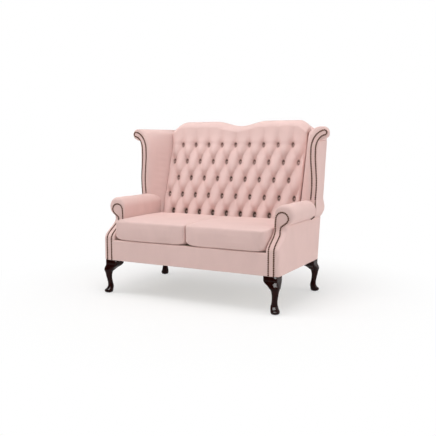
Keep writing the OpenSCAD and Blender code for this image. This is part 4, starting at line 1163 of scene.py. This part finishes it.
class SOFA_OT_legs(bpy.types.Operator):
    """Make the four polished cabriole legs."""
    bl_idname = "sofa.legs"
    bl_label = "Legs"

    def execute(self, context):
        leg_x = SIDE_X - 0.012 - LEG_BLOCK / 2
        inset = 0.002 + LEG_BLOCK / 2
        for side, sign in SIDES.items():
            for end, y, turn in (("front", inset, 1), ("rear", REAR_Y - inset, -1)):
                rings = self.rings()
                rings[..., 0] = sign * (leg_x + rings[..., 0])
                rings[..., 1] = y + turn * rings[..., 1]
                obj = loft(f"{end}_{side}_cabriole", placed(rings))
                dressed(obj, [f"{end}_{side}_leg"], polished_mahogany())
        return {"FINISHED"}

    def rings(self):
        """Rings of a front right leg about the middle of its block."""
        b, h, set_out = 1.05 * LEG_BLOCK / 2, BODY_Z, 0.0368
        # Height, shift towards the corner, half width, squareness and stretch towards the corner
        keys = np.array([
            (0.004, 0.0030, 0.0220, 2.0, 1.05), (h * 0.045, 0.0040, 0.0250, 2.0, 1.08),
            (h * 0.08, 0.003, 0.026, 2.0, 1.06), (h * 0.14, -0.005, 0.024, 2.0, 0.90),
            (h * 0.21, -0.009, 0.021, 2.0, 0.88), (h * 0.325, -0.006, 0.017, 2.0, 0.95),
            (h * 0.42, -0.002, 0.0175, 2.0, 0.96), (h * 0.54, 0.001, 0.020, 2.0, 1.0),
            (h * 0.635, 0.001, 0.0245, 2.2, 1.0), (h * 0.69, -0.004, b * 0.72, 2.8, 1.04),
            (h * 0.76, -0.016, b * 0.83, 4.2, 1.05), (h * 0.81, -0.029, b * 0.94, 7.0, 1.01),
            (h - 0.031, -set_out + 0.001, b - 0.0006, 11.0, 1.0), (h - 0.028, -set_out, b, 12.0, 1.0),
            (h - 0.0008, -set_out, b, 12.0, 1.0), (h, -set_out, b - 0.0008, 12.0, 1.0)])
        curved, block = keys[:-3], keys[-3:]
        zs = np.linspace(keys[0, 0], curved[-1, 0], LEG_ROWS)
        rows = np.stack([zs, *(smooth_through(curved[:, 0], curved[:, c], zs) for c in range(1, 5))], -1)
        turn = (np.arange(LEG_SIDES) + 0.5) * 2 * math.pi / LEG_SIDES
        c, s = np.cos(turn), np.sin(turn)
        z, shift, size, square, stretch = np.concatenate([rows, block]).T[..., None]
        r = size / (np.abs(c) ** square + np.abs(s) ** square) ** (1 / square)
        out = (r * c - r * s) / math.sqrt(2) * stretch + set_out + shift
        across = (r * c + r * s) / math.sqrt(2)
        return spots((out + across) / math.sqrt(2), (across - out) / math.sqrt(2), z)


class SOFA_OT_frame_finish(bpy.types.Operator):
    """Finish the timber, webbing, deck, bolts and glides that stay as they are."""
    bl_idname = "sofa.frame_finish"
    bl_label = "Frame finish"

    def execute(self, context):
        makes = dict.fromkeys(("seat_webbing", "back_webbing", "seat_deck", "dust_cover"), woven_canvas)
        makes.update(leg_bolts=bolt_steel, foot_glides=glide_nylon)
        for name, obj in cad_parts.items():
            if obj.hide_render:
                continue
            low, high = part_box(name)
            size = high - low
            material = makes[name]() if name in makes else raw_timber(max(range(3), key=lambda a: size[a]))
            for slot in obj.material_slots:
                slot.material = material
            if not obj.material_slots:
                raise RuntimeError(name + " has no material slot")
        return {"FINISHED"}


class SOFA_OT_studio(bpy.types.Operator):
    """Set up the camera, the pale floor and the soft light."""
    bl_idname = "sofa.studio"
    bl_label = "Studio"

    def execute(self, context):
        scene, studio = context.scene, context.scene.sofa_studio
        scene.view_settings.view_transform = "Standard"
        camera = bpy.data.cameras.new("camera")
        camera.lens, camera.sensor_width, camera.clip_end = 51.6, 36.0, 100.0
        scene.camera = linked("camera", camera)
        scene.camera.location = CAMERA_AT
        az, el = np.radians(CAMERA_TURN)
        level = math.cos(el)
        self.aim(scene.camera, Vector((-math.sin(az) * level, math.cos(az) * level, -math.sin(el))))
        for name, watts, size, place, target in (
                ("top_lamp", studio.key, 2.4, (0.1, -0.75, 3.3), (0.0, 0.0, 0.4)),
                ("left_lamp", studio.left, 1.6, (-2.7, -1.5, 2.5), (0.0, 0.1, 0.6)),
                ("right_lamp", studio.right, 1.8, (3.2, 0.4, 1.2), (0.6, 0.0, 0.4)),
                ("long_softbox", studio.glint, 4.8, (1.3, -2.9, 2.3), (0.3, 0.0, 0.2))):
            light = bpy.data.lights.new(name, "AREA")
            light.shape, light.size, light.energy = "DISK", size, watts
            lamp = linked(name, light)
            lamp.location = place
            self.aim(lamp, Vector(target) - Vector(place))
        # The long softbox is seen by the polish alone
        light.shape, light.size_y = "RECTANGLE", 2.0
        lamp.visible_diffuse = lamp.visible_camera = False
        self.world(scene, studio.room)
        self.floor()
        return {"FINISHED"}

    def aim(self, obj, way):
        obj.rotation_euler = way.to_track_quat("-Z", "Y").to_euler()

    def world(self, scene, level):
        """White backdrop, and a room that is darker behind the camera, as polish and metal show it."""
        scene.world = bpy.data.worlds.new("studio_room")
        scene.world.use_nodes = True
        t = Tree(scene.world.node_tree)
        north = t.axis(t.node("ShaderNodeTexCoord", {}, out="Generated"), "Y")
        ahead = t.node("ShaderNodeMapRange", {}, [north, -0.25, 0.25, 0.04, 1.0])
        white = t.node("ShaderNodeBackground", {}, [(1.0, 1.0, 1.0), 1.0])
        polish = t.node("ShaderNodeBackground", {}, [(1.0, 1.0, 1.0), ahead])
        seen = t.node("ShaderNodeBackground", {}, [(1.0, 0.99, 0.98), level])
        for ray, light in (("Glossy", polish), ("Transmission", white), ("Camera", white)):
            seen = t.node("ShaderNodeMixShader", {}, [t.ray(ray), seen, light])
        t.shown(seen, "OUTPUT_WORLD")

    def floor(self):
        """Pale floor that takes the shadows and turns into plain white away from the sofa."""
        count = 41
        across = np.linspace(-FLOOR_HALF, FLOOR_HALF, count)
        grid = np.stack([*np.meshgrid(across, across, indexing="ij"), np.full((count, count), -0.0002)], -1)
        obj = linked("pale_floor", new_mesh("pale_floor", grid, [f[::-1] for f in net(count, count)]))
        m = Finish("pale_floor")
        where = m.place()
        pale = m.blend(m.noise(where, 60.0, 3.0, 0.5), (0.93, 0.925, 0.92), (0.95, 0.947, 0.943))
        obj.data.materials.append(m.done(Base_Color=pale, Roughness=0.9, Specular_IOR_Level=0.05))
        x, y = m.axis(where, "X"), m.axis(where, "Y")
        far = ((x * x + y * y) ** 0.5).step(WHITE_FROM, WHITE_TO) * 0.51 + 0.49
        glow = m.node("ShaderNodeEmission", {}, [(1.0, 1.0, 1.0), 1.0])
        seen = (m.ray("Camera") + m.ray("Glossy") + m.ray("Transmission")).clamp()
        m.shown(m.node("ShaderNodeMixShader", {}, [far * seen, Value(m, m.shader.outputs[0]), glow]),
                "OUTPUT_MATERIAL")


class SOFA_PT_panel(bpy.types.Panel):
    """Sidebar panel of the sofa."""
    bl_idname = "SOFA_PT_panel"
    bl_label = "Buttoned wing sofa"
    bl_space_type = "VIEW_3D"
    bl_region_type = "UI"
    bl_category = "Sofa"

    def draw(self, context):
        for group in (context.scene.sofa_sizes, context.scene.sofa_colours, context.scene.sofa_studio):
            box = self.layout.box()
            for name in group.__annotations__:
                box.prop(group, name)
        for operator in OPERATORS:
            self.layout.operator(operator.bl_idname)


GROUPS = {"sofa_sizes": SofaSizes, "sofa_colours": SofaColours, "sofa_studio": SofaStudio}
OPERATORS = [SOFA_OT_seat_cushions, SOFA_OT_buttoned_back, SOFA_OT_back_buttons, SOFA_OT_top_roll,
             SOFA_OT_covers, SOFA_OT_facings, SOFA_OT_nails, SOFA_OT_outside_panels, SOFA_OT_legs,
             SOFA_OT_frame_finish, SOFA_OT_studio]
CLASSES = [*GROUPS.values(), *OPERATORS, SOFA_PT_panel]


def register():
    for item in CLASSES:
        bpy.utils.register_class(item)
    for name, group in GROUPS.items():
        setattr(bpy.types.Scene, name, bpy.props.PointerProperty(type=group))


def unregister():
    for name in GROUPS:
        delattr(bpy.types.Scene, name)
    for item in reversed(CLASSES):
        bpy.utils.unregister_class(item)


def main():
    register()
    for operator in OPERATORS:
        group, name = operator.bl_idname.split(".")
        getattr(getattr(bpy.ops, group), name)()


if __name__ == "__main__":
    main()
